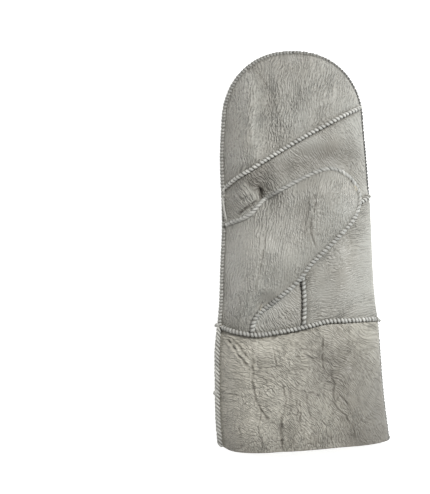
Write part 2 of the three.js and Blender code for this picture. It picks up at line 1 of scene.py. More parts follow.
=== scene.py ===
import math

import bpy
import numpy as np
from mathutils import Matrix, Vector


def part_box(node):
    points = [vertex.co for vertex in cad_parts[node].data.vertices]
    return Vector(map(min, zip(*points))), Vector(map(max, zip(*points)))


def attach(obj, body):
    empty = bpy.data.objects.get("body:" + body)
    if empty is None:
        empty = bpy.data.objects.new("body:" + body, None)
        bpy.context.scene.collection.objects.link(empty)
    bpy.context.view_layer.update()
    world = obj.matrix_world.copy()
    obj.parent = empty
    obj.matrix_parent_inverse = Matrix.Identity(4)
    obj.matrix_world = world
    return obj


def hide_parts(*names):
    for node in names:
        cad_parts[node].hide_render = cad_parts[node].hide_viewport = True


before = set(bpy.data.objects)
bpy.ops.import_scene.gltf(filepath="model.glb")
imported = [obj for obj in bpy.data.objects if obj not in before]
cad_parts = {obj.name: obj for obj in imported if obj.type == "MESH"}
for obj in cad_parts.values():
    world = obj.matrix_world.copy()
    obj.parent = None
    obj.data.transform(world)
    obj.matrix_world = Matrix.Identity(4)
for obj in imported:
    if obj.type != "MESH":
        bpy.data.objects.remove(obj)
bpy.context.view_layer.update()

# A long-cuffed shearling mitten, seen from straight above as it lies on its back. The leather's forms
# are worked out from the same plan paths and heights as the solids, with finer folds, wrinkles and
# grain, and a whipped seam with its threads runs along every joint. Plan sizes are in millimetres. +Z
# is up, +Y runs to the fingertips.

MM = 0.001


def table(columns, *rows):
    """The rows of a table, each as a dictionary by the names of its columns."""
    names = columns.split()
    return [dict(zip(names, row)) for row in rows]


# Driving sizes, as in the part
HAND_LENGTH = 209.0
CUFF_LENGTH = 96.0
PALM_WIDTH = 113.0
THICKNESS = 34.0
TIP_ROUND = 57.0
TIP_POWER = 2.2
PALM_ROLL = 30.0
BACK_ROLL = 20.0
THUMB_ROLL = 22.0
THUMB_RISE = 12.0
THUMB_SEAM_LIFT = 7.0
THUMB_RUN = 45.0
THUMB_SEAM_RUN = 16.0
THUMB_REST = 3.0
SEAM_RADIUS = 1.9
SEAM_RAISE = 0.6
HINGE_INSET = 8.0
PALM_SEAM_START = 12.0
HALF_WIDTH = PALM_WIDTH / 2
WHOLE_LENGTH = HAND_LENGTH + CUFF_LENGTH

# Fineness
PATH_STEP = 1.5
FACE_STEP = 0.46
BACK_STEP = 1.0
INSIDE_EVERY = 3

# Thickness of the leather with its wool, and how deep its edges go into the seams
WALL = 2.5
JOINT_GAP = 0.25

# Side seams: along is a share of the cuff's or the hand's length, left and right are shares of half the
# palm's width.
CUFF_SIDES = table(
    "along left right",
    (1.06, -0.985, 1.275),
    (0.83, -1.028, 1.235),
    (0.67, -1.041, 1.199),
    (0.44, -1.048, 1.156),
    (0.2, -1.048, 1.126),
)
HAND_SIDES = table(
    "along left right",
    (0.0, -1.017, 1.098),
    (0.09, -0.99, 1.048),
    (0.2, -0.979, 1.013),
    (0.35, -0.956, 0.99),
    (0.46, -0.963, 0.972),
    (0.6, -0.983, 0.933),
)
TIP_SIDES = {"left": -0.966, "right": 0.893}

# Each row of a seam is (across, along), as shares of half the palm's width and of the hand's length.
HEM = [  # the second column is the drop below the cuff seam, as a share of the cuff's length
    (-1.12, 0.955), (-0.983, 0.966), (-0.889, 0.99), (-0.741, 1.0), (-0.404, 1.0), (0.067, 0.984),
    (0.606, 0.956), (1.145, 0.927), (1.36, 0.9),
]
FINGER_SEAM = [
    (-1.03, 0.486), (-0.93, 0.502), (-0.808, 0.529), (-0.606, 0.562), (-0.337, 0.609), (-0.067, 0.653),
    (0.202, 0.695), (0.471, 0.734), (0.741, 0.776), (0.95, 0.806),
]
THUMB_SEAM = [
    (-1.03, 0.35), (-0.93, 0.363), (-0.84, 0.374), (-0.7, 0.387), (-0.593, 0.405), (-0.512, 0.43),
    (-0.431, 0.453), (-0.31, 0.473), (-0.162, 0.495), (0.027, 0.522), (0.215, 0.547), (0.337, 0.559),
    (0.444, 0.564), (0.566, 0.556), (0.687, 0.536), (0.781, 0.507), (0.838, 0.471), (0.838, 0.441),
    (0.795, 0.405), (0.7, 0.365), (0.539, 0.318), (0.337, 0.263), (0.175, 0.219), (0.074, 0.181),
    (-0.027, 0.15), (-0.189, 0.113), (-0.364, 0.073), (-0.498, 0.044), (-0.56, 0.015), (-0.586, -0.04),
]
CUFF_SEAM = [
    (-1.15, 0.006), (-1.017, -0.005), (-0.875, -0.018), (-0.673, -0.029), (-0.512, -0.033), (-0.269, -0.024),
    (0.0, -0.011), (0.242, 0.005), (0.404, 0.016), (0.673, 0.02), (0.943, 0.021), (1.25, 0.018),
]
PALM_SEAM = [
    (-0.431, 0.453), (-0.202, 0.431), (0.067, 0.418), (0.471, 0.421), (0.741, 0.436), (0.862, 0.455),
    (1.05, 0.492),
]
GUSSET_SEAM = [(0.013, 0.45), (0.04, 0.31), (0.081, 0.193), (0.114, 0.09), (0.101, -0.03)]
THUMB_CROTCH = (-0.431, 0.453)
THUMB_TIP_TOP = (0.566, 0.556)
THUMB_TIP_SIDE = (0.795, 0.405)
THUMB_HEEL = (-0.42, 0.062)

# Heights from hem to fingertip: (share of the whole length, seam and crown as shares of the thickness)
PROFILE = [
    (0.0, 0.3, 0.8), (0.16, 0.33, 0.86), (0.31, 0.37, 0.84), (0.5, 0.41, 0.97), (0.75, 0.43, 1.0),
    (1.0, 0.44, 0.94),
]

# Dents of the palm side, as in the part: ends as the seams', width of half the palm, depth of the thickness
DENTS = table(
    "name start end width depth",
    ("bed under the thumb", (-0.1, 0.32), (0.5, 0.42), 0.55, 0.12),
    ("pocket at the thumb's crotch", (-0.5, 0.485), (-0.44, 0.47), 0.13, 0.15),
    ("swelling beside the pocket", (-0.72, 0.44), (-0.68, 0.47), 0.2, -0.05),
    ("long fold in the fingers", (-0.4, 0.9), (-0.36, 0.64), 0.15, 0.09),
    ("trough by the fingertip", (-0.22, 0.86), (-0.3, 0.93), 0.22, 0.05),
    ("hollow above the thumb", (-0.1, 0.6), (0.6, 0.6), 0.16, 0.05),
    ("fold below the cuff seam", (-0.8, -0.055), (0.0, -0.035), 0.1, 0.05),
    ("crease down the cuff", (-0.58, -0.13), (-0.5, -0.3), 0.12, 0.05),
    ("crease to the hem", (-0.16, -0.25), (-0.17, -0.46), 0.12, 0.06),
    ("crease beside it", (0.45, -0.2), (0.62, -0.4), 0.16, 0.04),
)

# The photograph's frame: its pixel at the plan's origin (half across the palm, at the cuff seam), and
# its scale.
PHOTO_ORIGIN = (295.0, 325.0)
PHOTO_MM = 0.762
PHOTO_SIZE = (430, 494)

# Creases by panel, routed by pixels of the photograph. Width and depth are in millimetres, and a
# negative depth is a fold's crest. A crease under the NARROW width gets a line of painted shade as dark
# as it is deep, up to DARKEST, and CREASE_STEP is the step along a route.
DARKEST = 0.7
NARROW = 3.0
CREASE_STEP = 2.0
CREASES = {
    "finger": table(
        "width depth route",
        (1.2, 0.5, "249,66 258,75 266,86 269,93"),
        (0.9, 0.4, "269,88 266,103 264,118 267,142"),
        (0.8, 0.3, "258,97 260,116 256,142 252,160"),
        (0.9, 0.4, "272,96 274,111 279,124 285,139"),
        (0.8, 0.35, "263,99 261,118 260,140 262,158"),
        (0.8, 0.25, "280,103 289,119 301,125"),
        (0.7, 0.25, "243,111 250,110 258,112"),
        (0.7, 0.25, "270,116 276,114 283,115"),
        (5.0, -2.4, "248,80 250,110 249,135 245,162"),
        (5.2, 1.5, "252,66 264,84 269,104 267,132 262,155"),
    ),
    "middle": table(
        "width depth route",
        (1.5, 1.5, "247,180 250,188 257,193"),
        (1.5, 1.4, "235,217 246,210 256,203"),
        (1.3, 1.3, "238,214 248,207 257,200"),
        (0.8, 0.5, "243,208 252,203 258,198"),
        (2.5, 3.2, "259,188 261,194 260,201"),
        (1.6, 1.2, "257,188 260,192 259,199"),
        (1.0, 0.7, "260,190 264,192 269,191"),
        (0.9, 0.6, "260,195 264,196 268,195"),
        (4.6, -2.4, "234,202 245,193 252,196 247,203"),
    ),
    "thumb": table(
        "width depth route",
        (1.5, 0.9, "311,197 312,208 308,226 310,240 315,250"),
        (1.2, 0.55, "306,190 307,206 303,222 303,240"),
        (2.4, -0.7, "308,196 309,215 305,235"),
        (1.5, 0.9, "265,222 263,245 259,265 255,283 251,303"),
        (2.6, -0.7, "261,240 256,264 251,286"),
        (1.2, 0.25, "241,228 238,250 240,275"),
        (1.1, 0.25, "286,205 283,228 279,252 272,275"),
        (0.9, 0.35, "229,290 236,308 245,324"),
        (0.9, 0.35, "236,288 241,306 247,322"),
        (0.8, 0.3, "245,296 247,310 249,323"),
        (0.8, 0.3, "224,303 233,315 243,326"),
    ),
    "palm": table(
        "width depth route",
        (0.9, 0.35, "309,303 318,301 328,302"),
        (0.9, 0.35, "310,306 318,307 327,311"),
        (0.8, 0.25, "309,311 317,313 325,312"),
        (1.0, 0.2, "330,293 343,290 356,293"),
        (0.9, 0.25, "343,232 348,240 352,248"),
        (0.9, 0.25, "330,246 336,252 339,262"),
    ),
    "cuff": table(
        "width depth route",
        (1.6, 1.8, "236,336 255,338 275,335 300,330 322,327"),
        (1.7, 1.8, "222,332 232,345 242,359 250,371"),
        (1.4, 1.4, "228,335 238,345 247,356 252,362"),
        (1.0, 0.49, "232,334 245,345 256,355"),
        (2.5, -1.3, "227,339 238,353 245,364"),
        (1.4, 1.4, "252,343 252,363 253,390 256,399 267,417 279,425"),
        (0.9, 0.56, "253,363 261,358 268,357"),
        (0.9, 0.63, "253,364 265,366 277,365 287,366"),
        (0.9, 0.56, "253,363 247,357 243,350"),
        (1.0, 0.6, "254,370 264,372 272,375 282,385 285,395 283,414"),
        (0.9, 0.49, "256,374 266,378 273,377"),
        (1.0, 0.7, "272,345 274,358 277,367"),
        (1.5, 1.5, "282,412 280,430 282,449"),
        (1.5, -0.56, "284,415 283,430 285,446"),
        (0.9, 0.56, "285,414 291,412 298,415"),
        (1.1, 0.84, "298,397 299,420 301,434"),
        (1.1, 0.7, "304,389 307,406 311,421"),
        (0.9, 0.42, "293,392 296,408 297,428"),
        (1.1, 0.84, "321,331 322,346 321,362 324,372"),
        (1.1, 0.7, "331,372 332,388 333,402 344,415 352,428 353,442"),
        (1.0, 0.56, "336,390 343,399 349,408"),
        (0.9, 0.49, "331,366 329,374 334,384"),
        (1.0, 0.56, "296,389 308,391 322,396"),
        (1.0, 0.56, "286,356 300,355 319,358"),
        (0.9, 0.49, "291,345 302,348 314,350"),
        (0.9, 0.49, "314,382 324,380 334,383"),
        (1.0, 0.56, "223,394 234,394 246,395"),
        (0.9, 0.49, "222,386 233,388 248,385"),
        (0.9, 0.42, "224,373 234,372 244,376"),
        (0.9, 0.42, "223,402 235,399 248,401"),
        (1.0, 0.63, "262,406 258,424 262,446"),
        (1.0, 0.42, "240,448 241,436 238,424"),
        (0.9, 0.56, "262,408 268,420 281,424"),
        (1.0, 0.49, "318,417 327,425 331,441"),
    ),
}

# Fine wrinkles by panel: across and along are their sizes in mm, depth in mm, lean turns them clockwise
# from +Y in degrees, and sway is how far they wander. The cuff's have a flow of their own.
WRINKLES = {row["region"]: row for row in table(
    "region across along depth lean sway",
    ("finger", 2.6, 9.0, 0.07, 4.0, 3.2),
    ("middle", 2.6, 8.0, 0.06, -40.0, 3.0),
    ("thumb", 2.6, 11.0, 0.07, 8.0, 2.4),
    ("palm", 2.8, 7.0, 0.05, 70.0, 4.0),
    ("gusset", 2.6, 8.0, 0.1, -35.0, 3.0),
    ("cuff", 2.5, 9.0, 0.1),
    ("back", 3.0, 9.0, 0.12, 0.0, 3.5),
)}


# Plan paths

def place(row):
    return (row[0] * HALF_WIDTH, row[1] * HAND_LENGTH)


def photo(pixel):
    """A pixel of the photograph as a point of the plan."""
    return ((pixel[0] - PHOTO_ORIGIN[0]) * PHOTO_MM, (PHOTO_ORIGIN[1] - pixel[1]) * PHOTO_MM)


def points_of(route):
    """The points of a route written as "x,y x,y"."""
    return [[float(value) for value in point.split(",")] for point in route.split()]


def run_of(path):
    """The length of a path up to each of its points."""
    return np.concatenate([[0], np.cumsum(np.linalg.norm(np.diff(path, axis=0), axis=1))])


def even_steps(path, step):
    path = np.asarray(path, float)
    run = run_of(path)
    count = max(2, math.ceil(run[-1] / step))
    at = np.linspace(0, run[-1], count + 1)
    return np.stack([np.interp(at, run, path[:, k]) for k in range(path.shape[1])], axis=1)


def smooth_path(points, step=PATH_STEP):
    """A centripetal Catmull-Rom curve through the points, at even steps."""
    p = np.asarray(points, float)
    p = np.vstack([2 * p[0] - p[1], p, 2 * p[-1] - p[-2]])
    fine = []
    t = np.linspace(0, 1, 24, endpoint=False)[:, None]
    for i in range(1, len(p) - 2):
        a, b, c, d = p[i - 1 : i + 3]
        before, span, after = (np.linalg.norm(q) ** 0.5 for q in (b - a, c - b, d - c))
        leave = ((b - a) / before - (c - a) / (before + span) + (c - b) / span) * span
        arrive = ((c - b) / span - (d - b) / (span + after) + (d - c) / after) * span
        cube = 2 * b - 2 * c + leave + arrive
        square = -3 * b + 3 * c - 2 * leave - arrive
        fine.append(b + leave * t + square * t**2 + cube * t**3)
    fine.append(p[-2:-1])
    return even_steps(np.vstack(fine), step)


def nearest(path, x, y):
    """For each point, its distance to a path, the share of the path's length there, and its side (+1 is
    left)."""
    x, y = (np.asarray(v, np.float64).ravel() for v in (x, y))
    a, d = path[:-1], np.diff(path, axis=0)
    size = (d**2).sum(1)
    out = [np.empty(len(x)) for _ in range(3)]
    chunk = max(1, 6_000_000 // len(a))
    for i in range(0, len(x), chunk):
        px, py = x[i : i + chunk, None] - a[:, 0], y[i : i + chunk, None] - a[:, 1]
        t = np.clip((px * d[:, 0] + py * d[:, 1]) / size, 0, 1)
        away = (px - t * d[:, 0]) ** 2 + (py - t * d[:, 1]) ** 2
        best = away.argmin(1)
        row = np.arange(len(best))
        out[0][i : i + chunk] = np.sqrt(away[row, best])
        out[1][i : i + chunk] = (best + t[row, best]) / len(a)
        out[2][i : i + chunk] = np.sign(d[best, 0] * py[row, best] - d[best, 1] * px[row, best])
    return out


def distance_to(path, x, y):
    return nearest(path, x, y)[0].reshape(np.shape(x))


def share_of(path, point):
    return nearest(path, [point[0]], [point[1]])[1][0]


def point_at(path, share):
    at = np.clip(share, 0, 1) * (len(path) - 1)
    return np.stack([np.interp(at, np.arange(len(path)), path[:, k]) for k in range(path.shape[1])], axis=-1)


def stretch(path, start, end):
    steps = max(2, round(abs(end - start) * (len(path) - 1)))
    return point_at(path, np.linspace(start, end, steps + 1))


def tangents(path):
    t = np.gradient(path, axis=0)
    return t / np.linalg.norm(t, axis=1, keepdims=True)


def offset(path, distance):
    """A path moved sideways, to its left where the distance is positive."""
    t = tangents(path)
    return path + distance * np.stack([-t[:, 1], t[:, 0]], axis=1)


def crossing(a, b):
    """Where two paths cross, as a share of each one's length, or else their nearest places at an end of
    a."""
    r, s = np.diff(a, axis=0)[:, None], np.diff(b, axis=0)[None]
    gap = b[None, :-1] - a[:-1, None]
    turn = r[..., 0] * s[..., 1] - r[..., 1] * s[..., 0]
    with np.errstate(divide="ignore", invalid="ignore"):
        t = (gap[..., 0] * s[..., 1] - gap[..., 1] * s[..., 0]) / turn
        u = (gap[..., 0] * r[..., 1] - gap[..., 1] * r[..., 0]) / turn
    hit = np.argwhere((t >= 0) & (t <= 1) & (u >= 0) & (u <= 1))
    if len(hit):
        i, j = hit[0]
        return (i + t[i, j]) / (len(a) - 1), (j + u[i, j]) / (len(b) - 1)
    ends = [(nearest(b, [a[k][0]], [a[k][1]]), share) for k, share in ((0, 0.0), (-1, 1.0))]
    (found, share) = min(ends, key=lambda e: e[0][0][0])
    return share, found[1][0]


def close_sides(paths):
    """The sides of a panel, anticlockwise, each cut where it meets its neighbours."""
    corners = [crossing(path, paths[(i + 1) % len(paths)]) for i, path in enumerate(paths)]
    return [stretch(path, corners[i - 1][1], corners[i][0]) for i, path in enumerate(paths)]


def tip_arc():
    left, right = (TIP_SIDES[k] * HALF_WIDTH for k in ("left", "right"))
    angle = np.pi * (1 - np.arange(13) / 12)
    out = np.sign(np.cos(angle)) * np.abs(np.cos(angle)) ** (2 / TIP_POWER)
    up = np.abs(np.sin(angle)) ** (2 / TIP_POWER)
    foot = HAND_LENGTH - SEAM_RADIUS - TIP_ROUND
    return np.stack([(left + right) / 2 + out * (right - left) / 2, foot + up * TIP_ROUND], 1)


def side_path():
    def cuff(key):
        return [(row[key] * HALF_WIDTH, -row["along"] * CUFF_LENGTH) for row in CUFF_SIDES]

    def hand(key):
        return [place((row[key], row["along"])) for row in HAND_SIDES]

    rows = [*cuff("left"), *hand("left"), *tip_arc(), *hand("right")[::-1], *cuff("right")[::-1]]
    return smooth_path(rows)


side = side_path()
hem = smooth_path([(across * HALF_WIDTH, -drop * CUFF_LENGTH) for across, drop in HEM])
finger_seam, thumb_seam, cuff_seam, palm_seam, gusset_seam = (
    smooth_path([place(row) for row in rows])
    for rows in (FINGER_SEAM, THUMB_SEAM, CUFF_SEAM, PALM_SEAM, GUSSET_SEAM)
)
left_side, right_side = stretch(side, 0, 0.5), stretch(side, 0.5, 1)
crotch = share_of(thumb_seam, place(THUMB_CROTCH))
heel = share_of(thumb_seam, place(THUMB_HEEL))
thumb_start = crossing(thumb_seam, left_side)[0]
thumb_end, thumb_foot = crossing(thumb_seam, cuff_seam)

# The plan's origin in the row's frame
SHIFT = np.array([
    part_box("cuff_left_seam")[0].x / MM - (side[:, 0].min() - SEAM_RADIUS),
    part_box("hand_side_seam")[1].y / MM - (side[:, 1].max() + SEAM_RADIUS),
    0.0,
])


# Noise

def lattice_noise(x, y, seed):
    """Gradient noise from about -1 to 1, one feature to a unit."""
    x, y = np.asarray(x, float), np.asarray(y, float)
    ix, iy = np.floor(x).astype(np.int64), np.floor(y).astype(np.int64)
    fx, fy = x - ix, y - iy

    def corner(dx, dy):
        h = ((ix + dx) * 374761393 + (iy + dy) * 668265263 + seed * 974634777) & 0xFFFFFFFF
        h = ((h ^ (h >> 13)) * 1274126177) & 0xFFFFFFFF
        angle = (h ^ (h >> 16)) * (2 * np.pi / 4294967296)
        return np.cos(angle) * (fx - dx) + np.sin(angle) * (fy - dy)

    u, v = (f * f * f * (f * (f * 6 - 15) + 10) for f in (fx, fy))
    low = corner(0, 0) * (1 - u) + corner(1, 0) * u
    high = corner(0, 1) * (1 - u) + corner(1, 1) * u
    return (low * (1 - v) + high * v) * 1.5


def clouds(x, y, scale, seed, octaves=3):
    total, size = 0.0, 1.0
    for k in range(octaves):
        total = total + size * lattice_noise(x * 2**k / scale, y * 2**k / scale, seed + k)
        size /= 2
    return total


# Heights

def pillow(share):
    return 1 - (1 - np.clip(share, 0, 1)) ** 2.5


def ease(share):
    s = np.clip(share, 0, 1)
    return s * s * (3 - 2 * s)


def profile(column, y):
    """A smooth curve through one column of PROFILE: 1 is the side seam's height, 2 is the crown's."""
    rows = np.array(PROFILE)
    at = np.clip((np.asarray(y, float) + CUFF_LENGTH) / WHOLE_LENGTH, 0, 1)
    i = np.clip(np.searchsorted(rows[:, 0], at, side="right") - 1, 0, len(rows) - 2)
    every = np.arange(len(rows))
    before, after = np.maximum(every - 1, 0), np.minimum(every + 1, len(rows) - 1)
    slope = (rows[after, column] - rows[before, column]) / (rows[after, 0] - rows[before, 0])
    span = rows[i + 1, 0] - rows[i, 0]
    t = (at - rows[i, 0]) / span
    rise = rows[i + 1, column] - rows[i, column]
    bend = t * (1 - t) * ((1 - t) * (slope[i] * span - rise) - t * (slope[i + 1] * span - rise))
    return THICKNESS * (rows[i, column] + rise * t + bend)


def dent_depth(x, y):
    total = np.zeros(np.shape(x))
    for dent in DENTS:
        line = np.array([place(dent["start"]), place(dent["end"])])
        away = distance_to(line, x, y) / (dent["width"] * HALF_WIDTH)
        total += dent["depth"] * THICKNESS * np.exp(-(away**2))
    return total


def palm_height(x, y):
    inward = pillow(distance_to(side, x, y) / PALM_ROLL)
    seam = profile(1, y)
    return seam + inward * (profile(2, y) - seam - dent_depth(x, y))


def back_height(x, y):
    dip = (SEAM_RADIUS + SEAM_RAISE) * np.exp(-((distance_to(cuff_seam, x, y) / (4 * SEAM_RADIUS)) ** 2))
    roll = profile(1, y) * (1 - pillow(distance_to(side, x, y) / BACK_ROLL))
    return np.maximum(roll, dip)


rooted = [
    left_side,
    stretch(thumb_seam, thumb_start, crotch),
    stretch(thumb_seam, heel, thumb_end),
    stretch(cuff_seam, crossing(cuff_seam, left_side)[0], thumb_foot),
]
free = stretch(thumb_seam, crotch, heel)

# How far apart two edges of the thumb's root are blended into one distance
ROOT_BLEND = 5.0


def root_distance(x, y):
    """Distance to the thumb's root, blended where two of its edges are about as near."""
    away = np.array([distance_to(path, x, y) for path in rooted])
    least = away.min(0)
    return np.maximum(least - ROOT_BLEND * np.log(np.exp((least - away) / ROOT_BLEND).sum(0)), 0)


def seam_lift(x, y):
    return THUMB_SEAM_LIFT * ease(root_distance(x, y) / THUMB_SEAM_RUN)


def thumb_face_height(x, y):
    away = root_distance(x, y)
    dome = THUMB_RISE * ease(away / THUMB_RUN) * pillow(distance_to(free, x, y) / THUMB_ROLL)
    return palm_height(x, y) + THUMB_SEAM_LIFT * ease(away / THUMB_SEAM_RUN) + dome


def thumb_underside_height(x, y):
    border = np.maximum(seam_lift(x, y), THUMB_REST)
    inward = pillow(distance_to(free, x, y) / THUMB_ROLL)
    return palm_height(x, y) + border + (THUMB_REST - border) * inward


# The leather dips before it turns up into a seam's ridge.
GROOVE_DEPTH = 1.0
GROOVE_WIDTH = 3.0
ALL_SEAMS = {
    "finger": finger_seam,
    "thumb": thumb_seam,
    "palm": palm_seam,
    "gusset": gusset_seam,
    "cuff": cuff_seam,
}


def groove(x, y, seams):
    total = np.zeros(np.shape(x))
    for seam in seams:
        away = distance_to(ALL_SEAMS[seam], x, y) / GROOVE_WIDTH
        total = np.maximum(total, np.exp(-(away**2)))
    return GROOVE_DEPTH * total


def crease_field(x, y, region, seed):
    """Depth of one panel's creases at each point, and how dark the painted shade lines at their bottoms are.
    """
    wx, wy = (
        v + lattice_noise(x / 6, y / 6, seed + k) + 0.35 * lattice_noise(x / 1.9, y / 1.9, seed + 8 + k)
        for k, v in enumerate((x, y))
    )
    relief, lines = np.zeros(np.shape(x)), np.zeros(np.shape(x))
    broken = np.clip(0.75 + 0.8 * lattice_noise(x / 4.5, y / 4.5, seed + 2), 0.15, 1.2)
    for crease in CREASES.get(region, []):
        route = smooth_path([photo(p) for p in points_of(crease["route"])], CREASE_STEP)
        width, depth = crease["width"], crease["depth"]
        narrow = width < NARROW and depth > 0
        if narrow:
            width = 0.5 * width
        reach = width * 5
        low, high = route.min(0) - reach, route.max(0) + reach
        near = (wx > low[0]) & (wx < high[0]) & (wy > low[1]) & (wy < high[1])
        if not near.any():
            continue
        away, share, _ = nearest(route, wx[near], wy[near])
        fade = ease(np.minimum(share, 1 - share) / 0.25) * 0.8 + 0.2
        away = away / width
        if narrow:
            shape = np.exp(-np.abs(away) ** 1.4) - 0.3 * np.exp(-(((away - 2.2) / 1.2) ** 2))
            relief[near] += depth * fade * broken[near] * shape
            lines[near] += min(depth, DARKEST) * fade * broken[near] * np.exp(-((away * 1.1) ** 2))
        else:
            relief[near] += depth * fade * np.exp(-(away**2))
    return relief, lines


# Wrinkles

# The hollow beside the cuff's left seam, round which the cuff's wrinkles run, and their length to a radian
CUFF_HOLLOW = photo((198.0, 468.0))
HOLLOW_SPREAD = 45.0


def cuff_flow(x, y, seed):
    """The cuff's wrinkles run round the hollow beside its left seam."""
    wander = 2.2 * lattice_noise(x / 22, y / 22, seed) + 0.5 * lattice_noise(x / 8, y / 8, seed + 1)
    dx = x - CUFF_HOLLOW[0] + wander
    dy = 1.25 * (y - CUFF_HOLLOW[1]) + wander
    angle = np.arctan2(dx * 0.7 - dy * 0.7, -(dx * 0.7 + dy * 0.7)) - math.pi * 0.25
    angle = (angle + math.pi) % (2 * math.pi)
    return np.hypot(dx, dy) + 1.2 * wander, angle * HOLLOW_SPREAD


def flow(x, y, region, seed):
    """The coordinates across and along the fine wrinkles at each point."""
    if region == "cuff":
        return cuff_flow(x, y, seed)
    rule = WRINKLES[region]
    lean = math.radians(rule["lean"])
    wander = lattice_noise(x / 21, y / 26, seed) + 0.45 * lattice_noise(x / 7, y / 11, seed + 1)
    wander = rule["sway"] * wander
    across = x * math.cos(lean) - y * math.sin(lean) + wander
    along = x * math.sin(lean) + y * math.cos(lean) + 0.6 * wander
    return across, along


def fine_wrinkles(x, y, region, seed):
    """Rounded ribs with narrow valleys between them, up to about the depth above and below the panel."""
    rule = WRINKLES[region]
    across, along = flow(x, y, region, seed)
    u, v = across / rule["across"], along / rule["along"]
    ribs = np.abs(lattice_noise(u, v, seed + 2)) ** 0.75
    ribs = ribs * 0.65 + 0.35 * np.abs(lattice_noise(u * 1.9 + 7, v * 1.7, seed + 3)) ** 0.8
    patchy = 0.65 + 0.5 * clouds(x, y, 34, seed + 4)
    return rule["depth"] * np.clip(patchy, 0.2, 1.4) * (ribs - 0.45) * 1.6


# The stiff cuff's crumpled facets: depth in mm, and the plan's x left and right of which they change
CRUMPLE_DEPTH = 0.4
CRUMPLE_LEFT = photo((262, 0))[0]
CRUMPLE_RIGHT = photo((310, 0))[0]


def crumple(x, y, seed):
    """The creased facets of stiff leather: broad hollows, and broken lines down and across it, along which the
    leather gets painted shade.
    """
    wx, wy = (
        v + 4 * lattice_noise(x / 18, y / 18, seed + k) + 0.9 * lattice_noise(x / 5, y / 5, seed + 5 + k)
        for k, v in enumerate((x, y))
    )
    broad = np.abs(lattice_noise(wx / 13, wy / 19, seed + 2))
    down = np.abs(lattice_noise(wx / 5.5, wy / 17, seed + 3))
    across = np.abs(lattice_noise(wx / 15, wy / 4.2, seed + 4))
    left = ease((CRUMPLE_LEFT - x) / 14)
    down_at = np.clip(0.75 + 1.1 * clouds(x, y, 15, seed + 7) - 0.5 * left, 0, 1.3)
    across_at = np.clip(0.35 + 1.1 * clouds(x, y, 13, seed + 8) + 0.6 * left, 0, 1.3)
    depth = CRUMPLE_DEPTH * (1 - 0.55 * ease((x - CRUMPLE_RIGHT) / 25))
    height = depth * (0.5 * broad**0.7 + 0.55 * down_at * down**0.7 + 0.5 * across_at * across**0.7 - 0.6)
    lines = 0.7 * np.exp(-((broad / 0.04) ** 2)) + down_at * np.exp(-((down / 0.1) ** 2))
    lines += 0.8 * across_at * np.exp(-((across / 0.12) ** 2))
    return height, np.clip(lines, 0, 1.2)


# Meshes

def mesh_object(name, points, faces, material, attributes):
    """A smooth mesh from points in plan millimetres, faces by their number of corners, and vectors by
    name."""
    points = (points + SHIFT) * MM
    loops = np.concatenate([f.ravel() for f in faces])
    totals = np.concatenate([np.full(len(f), f.shape[1]) for f in faces])
    starts = np.concatenate([[0], np.cumsum(totals)[:-1]])
    mesh = bpy.data.meshes.new(name)
    mesh.vertices.add(len(points))
    mesh.vertices.foreach_set("co", points.astype(np.float32).ravel())
    mesh.loops.add(len(loops))
    mesh.loops.foreach_set("vertex_index", loops.astype(np.int32))
    mesh.polygons.add(len(totals))
    mesh.polygons.foreach_set("loop_start", starts.astype(np.int32))
    mesh.update(calc_edges=True)
    mesh.validate()
    mesh.polygons.foreach_set("use_smooth", np.ones(len(mesh.polygons), bool))
    for key, values in attributes.items():
        layer = mesh.attributes.new(key, "FLOAT_VECTOR", "POINT")
        layer.data.foreach_set("vector", np.asarray(values, np.float32).ravel())
    mesh.materials.append(material)
    obj = bpy.data.objects.new(name, mesh)
    bpy.context.scene.collection.objects.link(obj)
    return obj


def length_of(path):
    return np.linalg.norm(np.diff(path, axis=0), axis=1).sum()


def rounded_to(count, every):
    return max(every, math.ceil(count / every) * every)


def plan_grid(sides, step, rows=None):
    """Plan points between a bottom and a top run left to right, and a left and a right run upwards."""
    bottom, right, top, left = (sides[k] for k in ("bottom", "right", "top", "left"))
    columns = rounded_to(max(length_of(bottom), length_of(top)) / step, INSIDE_EVERY)
    rows = rows or rounded_to(max(length_of(left), length_of(right)) / step, INSIDE_EVERY)
    u, v = np.linspace(0, 1, columns + 1), np.linspace(0, 1, rows + 1)
    b, t, l, r = point_at(bottom, u), point_at(top, u), point_at(left, v), point_at(right, v)
    u, v = u[None, :, None], v[:, None, None]
    grid = (1 - v) * b[None] + v * t[None] + (1 - u) * l[:, None] + u * r[:, None]
    grid -= (1 - u) * (1 - v) * bottom[0] + u * (1 - v) * bottom[-1] + (1 - u) * v * top[0] + u * v * top[-1]
    return grid


def grid_normals(grid):
    n = np.cross(np.gradient(grid, axis=1), np.gradient(grid, axis=0))
    ends = ((0, 1), (-1, -2))
    for i, beside_i in ends:
        for j, beside_j in ends:
            n[i, j] = n[beside_i, beside_j]
    return n / np.maximum(np.linalg.norm(n, axis=2, keepdims=True), 1e-9)


def quads(index):
    return np.stack([index[:-1, :-1], index[:-1, 1:], index[1:, 1:], index[1:, :-1]], axis=2).reshape(-1, 4)


def border(index):
    return np.concatenate([index[0, :-1], index[:-1, -1], index[-1, :0:-1], index[:0:-1, 0]])


